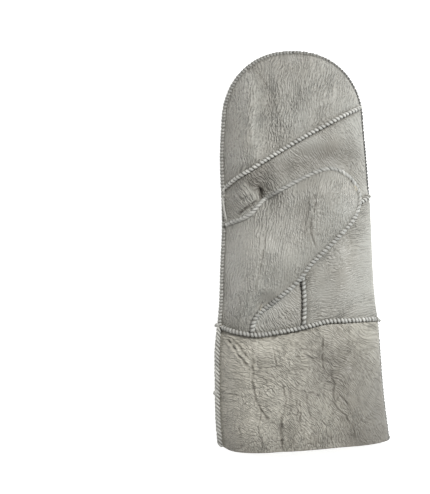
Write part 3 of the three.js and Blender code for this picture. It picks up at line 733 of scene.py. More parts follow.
def shell(name, displaced, inside, flip, leather, spread, tone):
    """A closed wall: the displaced leather grid outside and a coarser wool grid inside, joined round
    the edge. spread is how far each point lies across and along the wrinkles."""
    coarse = inside[::INSIDE_EVERY, ::INSIDE_EVERY]
    outer = np.arange(displaced[..., 0].size).reshape(displaced.shape[:2])
    inner = outer.size + np.arange(coarse[..., 0].size).reshape(coarse.shape[:2])
    front = quads(outer)
    back = quads(inner)[:, ::-1]
    ring, ring_in = border(outer), border(inner)
    around = np.arange(len(ring))
    mate = ring_in[(around // INSIDE_EVERY + (around % INSIDE_EVERY > INSIDE_EVERY // 2)) % len(ring_in)]
    rim = np.stack([ring, mate, np.roll(ring, -1)], axis=1)
    turn = ring[np.arange(len(ring_in)) * INSIDE_EVERY + INSIDE_EVERY // 2 + 1]
    rim_in = np.stack([turn, ring_in, np.roll(ring_in, -1)], axis=1)
    faces = [front, back, rim, rim_in]
    if flip:
        faces = [f[:, ::-1] for f in faces]
    grids = {"flow": np.stack([*spread, np.zeros(outer.shape)], axis=-1), "tone": tone}
    values = {
        key: np.vstack([grid.reshape(-1, 3), grid[::INSIDE_EVERY, ::INSIDE_EVERY].reshape(-1, 3)])
        for key, grid in grids.items()
    }
    points = np.vstack([displaced.reshape(-1, 3), coarse.reshape(-1, 3)])
    obj = mesh_object(name, points, faces, LEATHERS[leather], values)
    obj.data.materials.append(WOOL)
    wool = np.arange(len(obj.data.polygons)) >= len(front)
    obj.data.polygons.foreach_set("material_index", wool.astype(np.int32))
    return obj


# How the leather rolls over the side seam: by places of the photograph, how far the leather swells out
# over it.
SIDE_NORMALS = offset(side, 1.0) - side
BULGE_REACH = 4.0
BULGES = table(
    "at swell",
    ((216, 440), 0.0), ((285, 52), 0.0), ((335, 72), 1.6), ((361, 112), 2.4), ((368, 188), 2.4),
    ((369, 203), 4.6), ((374, 260), 4.8), ((378, 312), 4.4), ((381, 335), 3.4), ((385, 400), 3.0),
    ((389, 440), 3.0),
)


def swelling(share):
    shares = [share_of(side, photo(row["at"])) for row in BULGES]
    return np.interp(share, shares, [row["swell"] for row in BULGES])


def side_roll(x, y):
    """How far the leather beside the side seam moves out in plan."""
    away, share, _ = nearest(side, x, y)
    outward = point_at(SIDE_NORMALS, share)
    t = away / BULGE_REACH
    move = swelling(share) * t * np.exp(1 - t)
    return (outward * move[:, None]).reshape(*np.shape(x), 2)


def raised(plan, height, roll=True):
    x, y = plan[..., 0], plan[..., 1]
    points = np.concatenate([plan, height(x, y)[..., None]], axis=-1)
    if roll:
        points[..., :2] += side_roll(x, y)
    return points


# Materials

class Material:
    """A material put together node by node."""

    def __init__(self, name):
        self.material = bpy.data.materials.new(name)
        self.material.use_nodes = True
        self.tree = self.material.node_tree
        self.tree.nodes.clear()

    def fill(self, socket, value):
        if isinstance(value, bpy.types.NodeSocket):
            self.tree.links.new(value, socket)
        else:
            socket.default_value = value

    def node(self, kind, *values, **settings):
        """A new node's outputs. Values fill its inputs in order, and settings its inputs or properties
        by name."""
        made = self.tree.nodes.new("ShaderNode" + kind)
        for key, value in settings.items():
            label = key.replace("_", " ")
            if label in made.inputs:
                self.fill(made.inputs[label], value)
            else:
                setattr(made, key, value)
        for socket, value in zip(made.inputs, values):
            self.fill(socket, value)
        return made.outputs

    def attribute(self, name):
        return self.node("Attribute", attribute_name=name)["Vector"]

    def noise(self, vector, scale, detail, roughness=0.5, distortion=0.0):
        values = {"Scale": scale, "Detail": detail, "Roughness": roughness, "Distortion": distortion}
        return self.node("TexNoise", Vector=vector, **values)

    def span(self, value, low, high):
        """A value's place between low and high, from 0 to 1."""
        return self.node("MapRange", Value=value, From_Min=low, From_Max=high)["Result"]

    def mix(self, factor, a, b, kind="RGBA", **settings):
        return self.node("Mix", data_type=kind, Factor=factor, A=a, B=b, **settings)["Result"]

    def bump(self, height, distance, strength, **settings):
        return self.node("Bump", Height=height, Distance=distance, Strength=strength, **settings)["Normal"]

    def ramp(self, value, *stops):
        """A grey or a colour by where a value lies between the stops."""
        made = self.tree.nodes.new("ShaderNodeValToRGB")
        self.fill(made.inputs["Fac"], value)
        elements = made.color_ramp.elements
        while len(elements) < len(stops):
            elements.new(0.5)
        for element, (at, tone) in zip(elements, stops):
            element.position = at
            element.color = (*tone, 1) if isinstance(tone, tuple) else (tone, tone, tone, 1)
        return made.outputs["Color"]

    def surface(self, **settings):
        self.node("OutputMaterial", Surface=self.node("BsdfPrincipled", **settings)["BSDF"])
        return self.material


HAND_TONES = (0.335, 0.32, 0.283), (0.375, 0.368, 0.335)
CUFF_TONES = (0.447, 0.424, 0.363), (0.493, 0.47, 0.408)
# The colour that painted shade in creases, by seams and at edges goes towards, and how much paler than the
# paler tone the painted highlights go.
CREASE_SHADE_TONE = (0.15, 0.137, 0.117)
HIGHLIGHT_PALENESS = 1.26
THREAD_TONE = (0.47, 0.465, 0.435)
WOOL_TONE = (0.72, 0.66, 0.53)


def scaled(colour, factor):
    return tuple(factor * c for c in colour)


def leather_material(name, tones, cells, depth, pebbled, cracked=0.0):
    """Soft dyed leather: a cloudy colour between two tones, fine ribs with painted shade in the thin
    valleys between them and painted light on their tops, and a pebbled grain. The tone attribute adds
    painted shade, painted highlight and the grain's strength. cells is how many ribs there are to a
    millimetre across and along the flow, depth the valleys' in mm, and pebbled and cracked the shares of
    pebbles and of a net of cracks among them."""
    made = Material(name)
    place_ = made.node("TexCoord")["Object"]
    parts = made.node("SeparateXYZ", made.attribute("tone"))
    dark, pale, grainy = parts["X"], parts["Y"], parts["Z"]
    cell = made.node("VectorMath", made.attribute("flow"), (*cells, 1.0), operation="MULTIPLY")[0]

    ribs = made.node(
        "TexWave", bands_direction="X", wave_profile="SIN", Vector=cell, Scale=0.36, Distortion=7.5,
        Detail=2.0, Detail_Scale=1.9, Detail_Roughness=0.65,
    )["Fac"]
    pebbles = made.span(made.noise(cell, 2.3, 1.0, 0.5, 0.3)["Fac"], 0.3, 0.7)
    soft = made.mix(pebbled, ribs, pebbles, "FLOAT")
    warp = made.noise(cell, 1.1, 1.0)["Color"]
    moved = made.node("VectorMath", warp, (1.5, 1.5, 0.0), cell, operation="MULTIPLY_ADD")[0]
    net = made.node(
        "TexVoronoi", feature="DISTANCE_TO_EDGE", voronoi_dimensions="2D", Scale=0.72, Vector=moved,
    )["Distance"]
    mixed = made.mix(cracked, soft, made.span(net, 0.0, 0.2), "FLOAT")
    relief = made.span(mixed, 0.5 * cracked, 1 - 0.35 * cracked)

    cloud = made.noise(place_, 38.0, 4.0, 0.55)["Fac"]
    cloudy = made.ramp(cloud, (0.32, tones[0]), (0.68, tones[1]))
    # Painted shade in the ribs' valleys and painted light on their tops, as strong as the grain.
    shade = made.ramp(relief, (0.08, 0.58), (0.38, 0.97), (0.85, 1.1))
    valley_shaded = made.mix(grainy, cloudy, shade, blend_type="MULTIPLY")
    # Painted shade towards the dark shade colour, then painted highlight towards the paler tone.
    creased = made.mix(dark, valley_shaded, (*CREASE_SHADE_TONE, 1))
    colour = made.mix(pale, creased, (*scaled(tones[1], HIGHLIGHT_PALENESS), 1))

    grain = made.bump(made.noise(place_, 900.0, 3.0, 0.6)["Fac"], 0.00015, 0.35)
    strength = made.node("Math", grainy, 0.9, operation="MULTIPLY")[0]
    return made.surface(
        Base_Color=colour,
        Normal=made.bump(relief, depth * MM, strength, Normal=grain),
        Roughness=made.ramp(cloud, (0.35, 0.38), (0.65, 0.5)),
        Specular_IOR_Level=0.5,
        Sheen_Weight=0.08,
        Sheen_Roughness=0.4,
    )


def thread_material():
    """Waxed grey yarn, its colour multiplied stitch by stitch by the shade attribute, which holds random tone
    and painted shade.
    """
    made = Material("whip_thread")
    twist = made.noise(made.node("TexCoord")["Object"], 1400.0, 3.0, 0.7)["Fac"]
    colour = made.ramp(twist, (0.3, scaled(THREAD_TONE, 0.8)), (0.7, scaled(THREAD_TONE, 1.15)))
    shaded = made.mix(1.0, colour, made.attribute("shade"), blend_type="MULTIPLY")
    return made.surface(Base_Color=shaded, Normal=made.bump(twist, 0.0002, 0.5), Roughness=0.5)


def wool_material():
    """Clipped cream wool: matted curls, darker between them."""
    made = Material("clipped_wool")
    place_ = made.node("TexCoord")["Object"]
    moved = made.mix(0.004, place_, made.noise(place_, 260.0, 3.0)["Color"], blend_type="LINEAR_LIGHT")
    curls = made.node("TexVoronoi", feature="SMOOTH_F1", Scale=420.0, Vector=moved)["Distance"]
    return made.surface(
        Base_Color=made.ramp(curls, (0.0, scaled(WOOL_TONE, 1.05)), (0.75, scaled(WOOL_TONE, 0.55))),
        Normal=made.bump(curls, 0.0011, 0.9, invert=True),
        Roughness=0.95,
        Sheen_Weight=0.5,
        Sheen_Roughness=0.5,
    )


# The seam ridges' leather is darkened as painted shade between the stitches.
RIDGE_SHADE_TONES = [scaled(tone, 0.8) for tone in HAND_TONES]
LEATHERS = {
    "hand": leather_material("leather_hand", HAND_TONES, (0.47, 0.19), 1.15, 0.5),
    "cuff": leather_material("leather_cuff", CUFF_TONES, (0.55, 0.4), 0.68, 0.6, 0.4),
    "edge": leather_material("leather_ridge_shaded", RIDGE_SHADE_TONES, (0.4, 0.4), 0.15, 0.5),
}
WOOL = wool_material()
THREAD = thread_material()


# Panels

# How far from a seam the wrinkles fade, in mm, how dark the painted shade in creases and crumpled lines
# is, and how far the leather's colour may go to the painted shade's colour and to its painted highlight
EDGE_FADE = 4.4
CREASE_DARK = 0.95
CRUMPLE_DARK = 0.16
MOST_DARK = 0.85
MOST_PALE = 0.6

# Painted light and shade along routes in the photograph, where light falls on the leather or misses it:
# reach in mm, shade above 0 is painted shade, below 0 painted light.
PAINTED_LIGHT_AND_SHADE_ROUTES = table(
    "name reach shade route",
    ("fingertip", 16, 0.12, "255,58 300,52 335,70"),
    ("left of the fingers", 9, 0.2, "232,85 226,120 226,165"),
    ("finger trough", 6, 0.08, "250,64 264,80 270,100 266,130"),
    ("finger ridge", 8, -0.08, "248,90 250,130 242,165"),
    ("above the finger seam", 7, 0.14, "320,118 345,106"),
    ("below the finger seam", 11, 0.5, "240,184 300,158 345,155"),
    ("around the pocket", 6, 0.15, "254,184 262,198"),
    ("pocket", 1.7, 0.5, "257,188 261,191 261,199"),
    ("under the swelling", 2.5, 0.25, "256,203 240,212"),
    ("swelling", 3.5, -0.45, "246,186 253,196"),
    ("above the thumb", 7, 0.1, "265,182 310,172"),
    ("thumb's root", 6, 0.06, "238,215 232,250 232,300"),
    ("hem's left corner", 17, 0.3, "216,420 224,450"),
    ("hem", 13, 0.32, "240,450 385,440"),
    ("cuff's right half", 30, 0.58, "340,370 365,400 375,435"),
    ("cuff's right edge", 14, 0.3, "384,330 388,440"),
    ("top of the cuff", 8, -0.4, "258,348 272,348"),
    ("little finger's side", 12, -0.45, "372,205 376,290"),
    ("below the thumb", 9, 0.22, "218,290 220,325"),
    ("fingers", 16, -0.25, "268,120 280,140"),
    ("thumb's heel", 9, -0.5, "264,282 254,298"),
    ("cuff's left", 14, -0.2, "238,360 242,425"),
    ("thumb", 20, -0.4, "275,240 245,260 240,290"),
    ("gusset", 7, -0.12, "288,296 278,312"),
)


# Painted light and shade at each point, summed from the routes above.
def painted_light_and_shade(x, y):
    total = np.zeros(np.shape(x))
    for patch in PAINTED_LIGHT_AND_SHADE_ROUTES:
        route = np.array([photo(p) for p in points_of(patch["route"])])
        total += patch["shade"] * np.exp(-((distance_to(route, x, y) / patch["reach"]) ** 2))
    return total


# Where the leather's grain is drawn up stronger or smoothed out, by places of the photograph
GRAINS = table(
    "name at reach strength",
    ("beside the finger trough", (268, 120), 24, 0.25),
    ("finger ridge", (240, 130), 14, -0.3),
    ("palm", (345, 275), 36, -0.62),
    ("gusset", (283, 304), 14, -0.6),
    ("thumb", (285, 235), 34, -0.18),
    ("cuff's right", (360, 390), 36, -0.4),
    ("cuff's left", (238, 385), 30, 0.15),
    ("middle", (315, 155), 34, -0.55),
    ("around the pocket", (262, 192), 16, 0.3),
)


def grain_strength(x, y):
    total = np.ones(np.shape(x))
    for grain in GRAINS:
        px, py = photo(grain["at"])
        total += grain["strength"] * np.exp(-(((x - px) ** 2 + (y - py) ** 2) / grain["reach"] ** 2))
    return total + 0.4 * clouds(x, y, 16, 77)


def seam_shade(x, y, seams):
    """Painted shadow from each seam: a narrow dark line on the leather on its lower side, its right, and a
    faint one on its left."""
    total = np.zeros(np.shape(x))
    for seam in seams:
        away, _, hand = (v.reshape(np.shape(x)) for v in nearest(ALL_SEAMS[seam], x, y))
        lower = 0.75 * np.exp(-(((away - 1.6) / 1.3) ** 2))
        upper = 0.3 * np.exp(-(((away - 1.2) / 1.0) ** 2))
        total = np.maximum(total, np.where(hand < 0, lower, upper))
    return total


def shade_light_and_grain(x, y, wrinkles, lines, seams):
    """How far the leather goes to the colour of painted shade and to its painted highlight, and how strong its
    grain is.
    """
    shade = painted_light_and_shade(x, y)
    # Painted shade where the leather turns under beside the side seam.
    edge = 0.45 * np.exp(-((distance_to(side, x, y) / 1.4) ** 2))
    # Painted shade in the creases' lines, the wrinkles' valleys, the dark routes and under the seams, and
    # painted highlight on the wrinkles' tops and the pale routes.
    dark = np.clip(lines, 0, DARKEST) + np.clip(-wrinkles, 0, 0.12) + np.clip(shade, 0, 1)
    dark = np.maximum(dark, np.maximum(seam_shade(x, y, seams), edge))
    pale = np.clip(0.5 * wrinkles, 0, 0.1) + np.clip(-shade, 0, 1)
    return np.stack([np.clip(dark, 0, MOST_DARK), np.clip(pale, 0, MOST_PALE), grain_strength(x, y)], axis=-1)


# How far from the thumb's crotch its underside is kept below the palm
CROTCH_REACH = 30.0


def under_the_thumb(points, spare, beyond=None):
    """Keeps what lies under the thumb's face a given depth below it and, if asked for, what lies beyond
    its seam near the crotch below the palm."""
    x, y = points[..., 0], points[..., 1]
    hand = nearest(thumb_seam, x, y)[2].reshape(x.shape)
    ceiling = thumb_face_height(x, y) - spare
    outside = points[..., 2]
    if beyond is not None:
        middle = point_at(thumb_seam, crotch)
        near = np.hypot(x - middle[0], y - middle[1]) < CROTCH_REACH
        outside = np.where(near, np.minimum(outside, palm_height(x, y) - beyond), outside)
    points[..., 2] = np.where(hand < 0, np.minimum(points[..., 2], ceiling), outside)
    return points


def edge_fade(x, y, paths):
    """Wrinkles and creases fade out towards the seams."""
    away = np.min([distance_to(path, x, y) for path in paths], axis=0)
    return 0.25 + 0.75 * ease(away / EDGE_FADE)


def panel(name, nodes, sides, region, seams, seed, height=palm_height, flip=False, leather="hand", roll=True):
    """One leather panel with its wrinkles, standing for the given CAD nodes."""
    facing = -1 if flip else 1
    plan = plan_grid(sides, BACK_STEP if flip else FACE_STEP)
    x, y = plan[..., 0], plan[..., 1]
    base = raised(plan, height, roll)
    base[..., 2] -= groove(x, y, seams) * facing
    normal = grid_normals(base) * facing
    creases, crease_lines = (np.zeros(x.shape),) * 2 if flip else crease_field(x, y, region, seed)
    wrinkles, lines = fine_wrinkles(x, y, region, seed), np.zeros(x.shape)
    if region == "cuff":
        crumpled, lines = crumple(x, y, seed + 11)
        wrinkles = wrinkles + crumpled
    if flip:
        wrinkles = np.minimum(wrinkles, 0) * ease((base[..., 2] - 0.3) / WALL)
    fade = edge_fade(x, y, [side, *(ALL_SEAMS[s] for s in seams)])
    displaced = base + normal * ((wrinkles - creases) * fade)[..., None]
    depth = WALL + np.clip(clouds(x, y, 7, seed + 20), -0.6, 1) + np.maximum(creases, 0)
    inside = base - normal * depth[..., None]
    if region == "thumb":
        near_edge = ease(1 - distance_to(free, x, y) / (5 * WALL))
        floor = np.minimum(thumb_underside_height(x, y) + 0.5, displaced[..., 2] - 0.4)
        inside[..., 2] += near_edge * np.maximum(floor - inside[..., 2], 0)
    tone = shade_light_and_grain(x, y, wrinkles, CREASE_DARK * crease_lines + CRUMPLE_DARK * lines, seams)
    obj = shell(name, displaced, inside, flip, leather, flow(x, y, region, seed), tone)
    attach(obj, "root")
    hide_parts(*nodes)


side_edge = offset(side, -JOINT_GAP)[::-1]
right_edge, left_edge = stretch(side_edge, 0, 0.5), stretch(side_edge, 0.5, 1)


def above(seam):
    return offset(seam, JOINT_GAP)


def below(seam):
    return offset(seam, -JOINT_GAP)[::-1]


def four_sides(bottom, right, top, left):
    b, r, t, l = close_sides([bottom, right, top, left])
    return {"bottom": b, "right": r, "top": t[::-1], "left": l[::-1]}


def rounded_sides(base):
    """The four sides of a panel whose top is the fingertips' round."""
    bottom, up, down = close_sides([base, right_edge, left_edge])
    around = np.vstack([up, down[1:]])
    first, second = TOP_SHARES
    return {
        "bottom": bottom,
        "right": stretch(around, 0, first),
        "top": stretch(around, first, second)[::-1],
        "left": stretch(around, second, 1)[::-1],
    }


# The round top of the fingers and the back is taken as the side between these shares of the outline.
TOP_SHARES = 0.36, 0.64

# The panel under the thumb: where its edges leave the heel and the palm's seam, as shares of their
# runs, the grid steps of its two halves in mm, and how many steps the fold at the root has
HEEL_START = 0.2
PALM_START = 0.06
GUSSET_STEP = 0.8
UNDERSIDE_STEP = 0.9
FOLD_STEPS = 7

every_six = slice(None, None, round(6 / PATH_STEP))
root_run = stretch(thumb_seam, 0, crotch)[:-3]
root_and_palm_seam = smooth_path(np.vstack([root_run[every_six], palm_seam[every_six]]))
thumb_inner = offset(thumb_seam, -JOINT_GAP)
tip_top, tip_side = (share_of(thumb_inner, place(p)) for p in (THUMB_TIP_TOP, THUMB_TIP_SIDE))


def thumb_face_sides():
    bottom, outer, left = close_sides([above(cuff_seam), thumb_inner[::-1], left_edge])
    side0, top0 = (share_of(outer, point_at(thumb_inner, s)) for s in (tip_side, tip_top))
    return {
        "bottom": np.vstack([bottom, stretch(outer, 0, side0)[1:]]),
        "right": stretch(outer, side0, top0),
        "top": stretch(outer, top0, 1)[::-1],
        "left": left[::-1],
    }


def gusset_sides(hinge):
    """The part of the palm under the thumb, between the hinge at the thumb's root and the gusset's seam."""
    gusset_edge, palm_edge = offset(gusset_seam, -JOINT_GAP), offset(palm_seam, -JOINT_GAP)
    cuff_edge = above(cuff_seam)
    heel_edge = offset(stretch(thumb_seam, heel, 1), JOINT_GAP)
    palm_end, gusset_top = crossing(palm_edge, gusset_edge)
    gusset_foot, cuff_right = crossing(gusset_edge, cuff_edge)
    heel_foot, cuff_left = crossing(heel_edge, cuff_edge)
    heel_run, cuff_run = stretch(heel_edge, HEEL_START, heel_foot), stretch(cuff_edge, cuff_left, cuff_right)
    return {
        "bottom": np.vstack([hinge[:1], heel_run, cuff_run[1:]]),
        "right": stretch(gusset_edge, gusset_top, gusset_foot)[::-1],
        "top": np.vstack([hinge[-1:], stretch(palm_edge, PALM_START, palm_end)]),
        "left": hinge,
    }


def underside_sides(hinge):
    """The thumb's underside, between the hinge and the thumb's tip."""
    low, high = share_of(thumb_inner, hinge[0]) - 0.01, share_of(thumb_inner, hinge[-1]) + 0.01
    return {
        "bottom": np.vstack([hinge[:1], stretch(thumb_inner, low, tip_side)]),
        "right": stretch(thumb_inner, tip_side, tip_top),
        "top": np.vstack([hinge[-1:], stretch(thumb_inner, high, tip_top)]),
        "left": hinge,
    }


def fold_between(lower, upper, hinge):
    """The half round that joins the palm to the thumb's underside along the hinge."""
    out = (hinge[-1] - hinge[0]) / np.linalg.norm(hinge[-1] - hinge[0])
    centre, radius = (lower[:, 0] + upper[:, 0]) / 2, (upper[:, 0, 2] - lower[:, 0, 2]) / 2
    rings = []
    for a in np.linspace(0, np.pi, FOLD_STEPS)[1:-1]:
        rings.append(centre + np.outer(radius, (-out[1] * np.sin(a), out[0] * np.sin(a), -np.cos(a))))
    return np.stack(rings, axis=1)


def thumb_back(seed):
    """The gusset in the palm, the fold at the thumb's root and the thumb's underside, as one wall."""
    top, foot = point_at(thumb_seam, crotch), point_at(thumb_seam, heel)
    inset = HINGE_INSET * (top - foot) / np.linalg.norm(top - foot)
    hinge = even_steps(np.array([foot + inset, top - inset]), PATH_STEP)
    gusset = gusset_sides(hinge)
    rows = rounded_to(max(length_of(hinge), length_of(gusset["right"])) / GUSSET_STEP, INSIDE_EVERY)
    lower = raised(plan_grid(gusset, GUSSET_STEP, rows), palm_height)
    lower[..., 2] -= groove(lower[..., 0], lower[..., 1], ["gusset", "cuff", "palm"])
    under_plan = plan_grid(underside_sides(hinge), UNDERSIDE_STEP, rows)
    upper = raised(under_plan, thumb_underside_height, roll=False)
    base = np.concatenate([lower[:, ::-1], fold_between(lower, upper, hinge), upper], axis=1)
    spare = (base.shape[1] - 1) % INSIDE_EVERY
    base = base[:, spare:]
    x, y = base[..., 0], base[..., 1]
    normal = -grid_normals(base)
    creases, lines = crease_field(x, y, "middle", seed)
    wrinkles = fine_wrinkles(x, y, "gusset", seed)
    on_palm = np.arange(base.shape[1]) < lower.shape[1] - spare
    fade = edge_fade(x, y, [gusset_seam, cuff_seam, thumb_seam])
    move = (wrinkles - creases * on_palm) * fade
    displaced = under_the_thumb(base + normal * move[..., None], 1.1 * WALL)
    inside = under_the_thumb(base - normal * WALL, 0.4 * WALL, WALL)
    tone = shade_light_and_grain(x, y, wrinkles, 0.75 * lines * on_palm, ["gusset", "cuff", "thumb", "palm"])
    obj = shell("gusset_and_underside", displaced, inside, True, "hand", flow(x, y, "gusset", seed), tone)
    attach(obj, "root")
    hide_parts("thumb_back_panel")


cuff_sides = four_sides(hem, right_edge, below(cuff_seam), left_edge)
middle_sides = four_sides(above(root_and_palm_seam), right_edge, below(finger_seam), left_edge)
palm_sides = four_sides(above(cuff_seam), right_edge, below(palm_seam), offset(gusset_seam, JOINT_GAP))
back_sides = rounded_sides(above(cuff_seam))

panel("fingers", ["finger_panel"], rounded_sides(above(finger_seam)), "finger", ["finger"], 3)
panel("middle_band", ["middle_panel"], middle_sides, "middle", ["finger", "palm"], 5)
panel("palm", ["palm_panel"], palm_sides, "palm", ["palm", "gusset", "cuff"], 7)
panel(
    "thumb_face", ["thumb_face_panel"], thumb_face_sides(), "thumb", ["cuff"], 9,
    thumb_face_height, roll=False,
)
panel("cuff_face", ["cuff_face_panel"], cuff_sides, "cuff", ["cuff"], 11, leather="cuff")
panel("back", ["back_panel"], back_sides, "back", ["cuff"], 13, back_height, flip=True)
panel(
    "cuff_back", ["cuff_back_panel"], cuff_sides, "cuff", ["cuff"], 15,
    back_height, flip=True, leather="cuff",
)
thumb_back(31)


# Seams

# Yarn and ridge by seam: pitch and slant of the stitches in mm, cover as the share of the pitch that
# the yarn covers, shade as its brightness along the run (on the right side seams, painted shade under
# the rolled leather), width and rise of the ridge and thickness of the yarn in mm
SEAM_LOOKS = {row["name"]: row for row in table(
    "name nodes pitch slant cover shade width rise thick seed",
    ("finger_seam", ["finger_seam"], 3.0, 1.6, 0.74, (1.1, 1.3, 1.2, 1.3), 1.2, 1.5, 0.45, 41),
    (
        "thumb_seam_upper", ["thumb_seam"], 3.2, 4.0, 0.78, (1.0, 1.05, 0.95, 0.92, 0.95, 0.95),
        1.3, 1.45, 0.45, 42,
    ),
    ("thumb_seam_lower", ["thumb_seam"], 3.0, 1.8, 0.82, (0.95, 0.9, 0.88, 0.92, 0.9), 1.5, 1.55, 0.5, 43),
    ("palm_seam", ["palm_seam"], 2.8, 2.0, 0.8, (1.0,), 1.4, 1.5, 0.5, 44),
    ("gusset_seam", ["gusset_seam"], 3.2, 1.7, 0.76, (0.9, 1.05), 1.3, 1.5, 0.45, 45),
    ("cuff_seam", ["cuff_face_seam"], 2.75, 1.3, 0.8, (0.85, 0.9, 1.0, 1.1, 1.15, 1.1), 1.3, 1.35, 0.55, 46),
    ("cuff_seam_back", ["cuff_back_seam"], 3.05, 0.7, 0.7, (0.9,), 1.5, 1.2, 0.45, 47),
    ("hand_side_left", ["hand_side_seam"], 2.5, 1.2, 0.82, (0.9, 0.78, 0.78, 0.7, 0.65), 1.45, 1.55, 0.45, 48),
    ("hand_side_right", ["hand_side_seam"], 2.5, 1.2, 0.74, (0.6, 0.8), 1.45, 1.55, 0.45, 52),
    ("cuff_left", ["cuff_left_seam"], 3.0, -5.2, 0.6, (0.9, 1.0, 1.15, 1.15), 1.45, 1.5, 0.8, 49),
    ("cuff_right", ["cuff_right_seam"], 2.5, 1.2, 0.74, (0.5,), 1.4, 1.5, 0.45, 50),
)}

# How far a seam stops before the line of the next one, the fineness of the seams, and the place by the
# fingertips where the side seam turns out of sight
SEAM_STOP = 1.2 * SEAM_RADIUS
SEAM_STEP = 0.42
RIDGE_SIDES = 12
STITCH_STEPS = 11
YARN_SIDES = 8
SIDE_TURN = photo((292, 52))

# Ends of yarn and knots: radius in mm, shade as brightness, and points as pixels of the photograph with
# a height in mm
LOOSE_ENDS = table(
    "name radius shade route",
    ("end_hem", 1.3, 0.6, "387,436,10 389,437.5,10.5 390.4,438,10"),
    ("end_finger_seam", 1.1, 1.15, "357,108.5,17 360.5,107.5,17 362,109,16"),
    ("end_cuff_seam_right", 1.2, 0.8, "376,320.5,15 379,320,15 380,321.5,14"),
    ("end_cuff_seam_left", 1.2, 0.9, "219,326,15 216.5,324.5,15 215.5,327,14"),
    ("knot_cuff_left", 1.5, 0.95, "216.5,391.5,13 215,392.5,14 215,394.5,13"),
    ("loop_finger_seam", 1.0, 1.25, "228,187,19 224,189,18.5 223,192,17"),
    ("inner_rope", 0.75, 0.95, "222.5,197,18 223.5,206,19 225,214,19.5 226.5,221,19"),
)


def seam_run(path, first, last):
    """A seam's path between the seams that it runs into, stopped inside their ridges."""
    start, end = crossing(path, first)[0], crossing(path, last)[0]
    spare = SEAM_STOP / length_of(path)
    return stretch(path, start + spare, end - spare)


def tube_faces(shape, flip=False):
    """The walls and both ends of closed tubes, from the counts of tubes, of rings and of points in a
    ring."""
    index = np.arange(np.prod(shape)).reshape(shape)
    beside = np.roll(index, -1, axis=2)
    corners = [index[:, :-1], beside[:, :-1], beside[:, 1:], index[:, 1:]]
    ends = [index[:, 0, ::-1], index[:, -1]]
    if flip:
        corners = [corners[0], *corners[:0:-1]]
        ends = [end[:, ::-1] for end in ends]
    return [np.stack(corners, axis=3).reshape(-1, 4), *ends]


def unit(vectors):
    return vectors / np.linalg.norm(vectors, axis=-1, keepdims=True)


def along_run(at, run, vectors):
    return np.stack([np.interp(at, run, vectors[:, j]) for j in range(3)], 1)


def seam_ridge(name, look, line, crest, across, run, pitch):
    """The raised ridge of two leather edges, pinched where the yarn passes over it."""
    around = np.linspace(-np.pi, np.pi, RIDGE_SIDES + 1)[:-1]
    s, a = run[:, None], around[None, :]
    seed, nodes = look["seed"], look["nodes"]
    phase = (s - look["slant"] * a / np.pi) / pitch
    pinch = np.exp(-((((phase % 1) - 0.5) / 0.3) ** 2))
    size = 0.96 + 0.1 * pinch + 0.05 * lattice_noise(s / 5 + seed, a * 0.8, seed)
    size = size * np.sqrt(np.clip(np.minimum(run, run[-1] - run) / 1.6, 0.02, 1))[:, None]
    sideways = (np.sin(a) * look["width"] * size)[..., None] * across[:, None]
    points = line[:, None] + sideways + (np.cos(a) * look["rise"] * size)[..., None] * crest[:, None]
    zero = np.zeros(pinch.shape)
    flow_value = np.stack([s + zero, a * look["width"] + zero, zero], axis=-1)
    # The ridge is painted halfway to the shade colour, for the shade between the stitches.
    dark = np.stack([zero + 0.5, zero, zero + 1], axis=-1)
    values = {"flow": flow_value, "tone": dark}
    ridge = mesh_object(name, points.reshape(-1, 3), tube_faces((1, *zero.shape)), LEATHERS["edge"], values)
    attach(ridge, "root")
    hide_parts(*nodes)


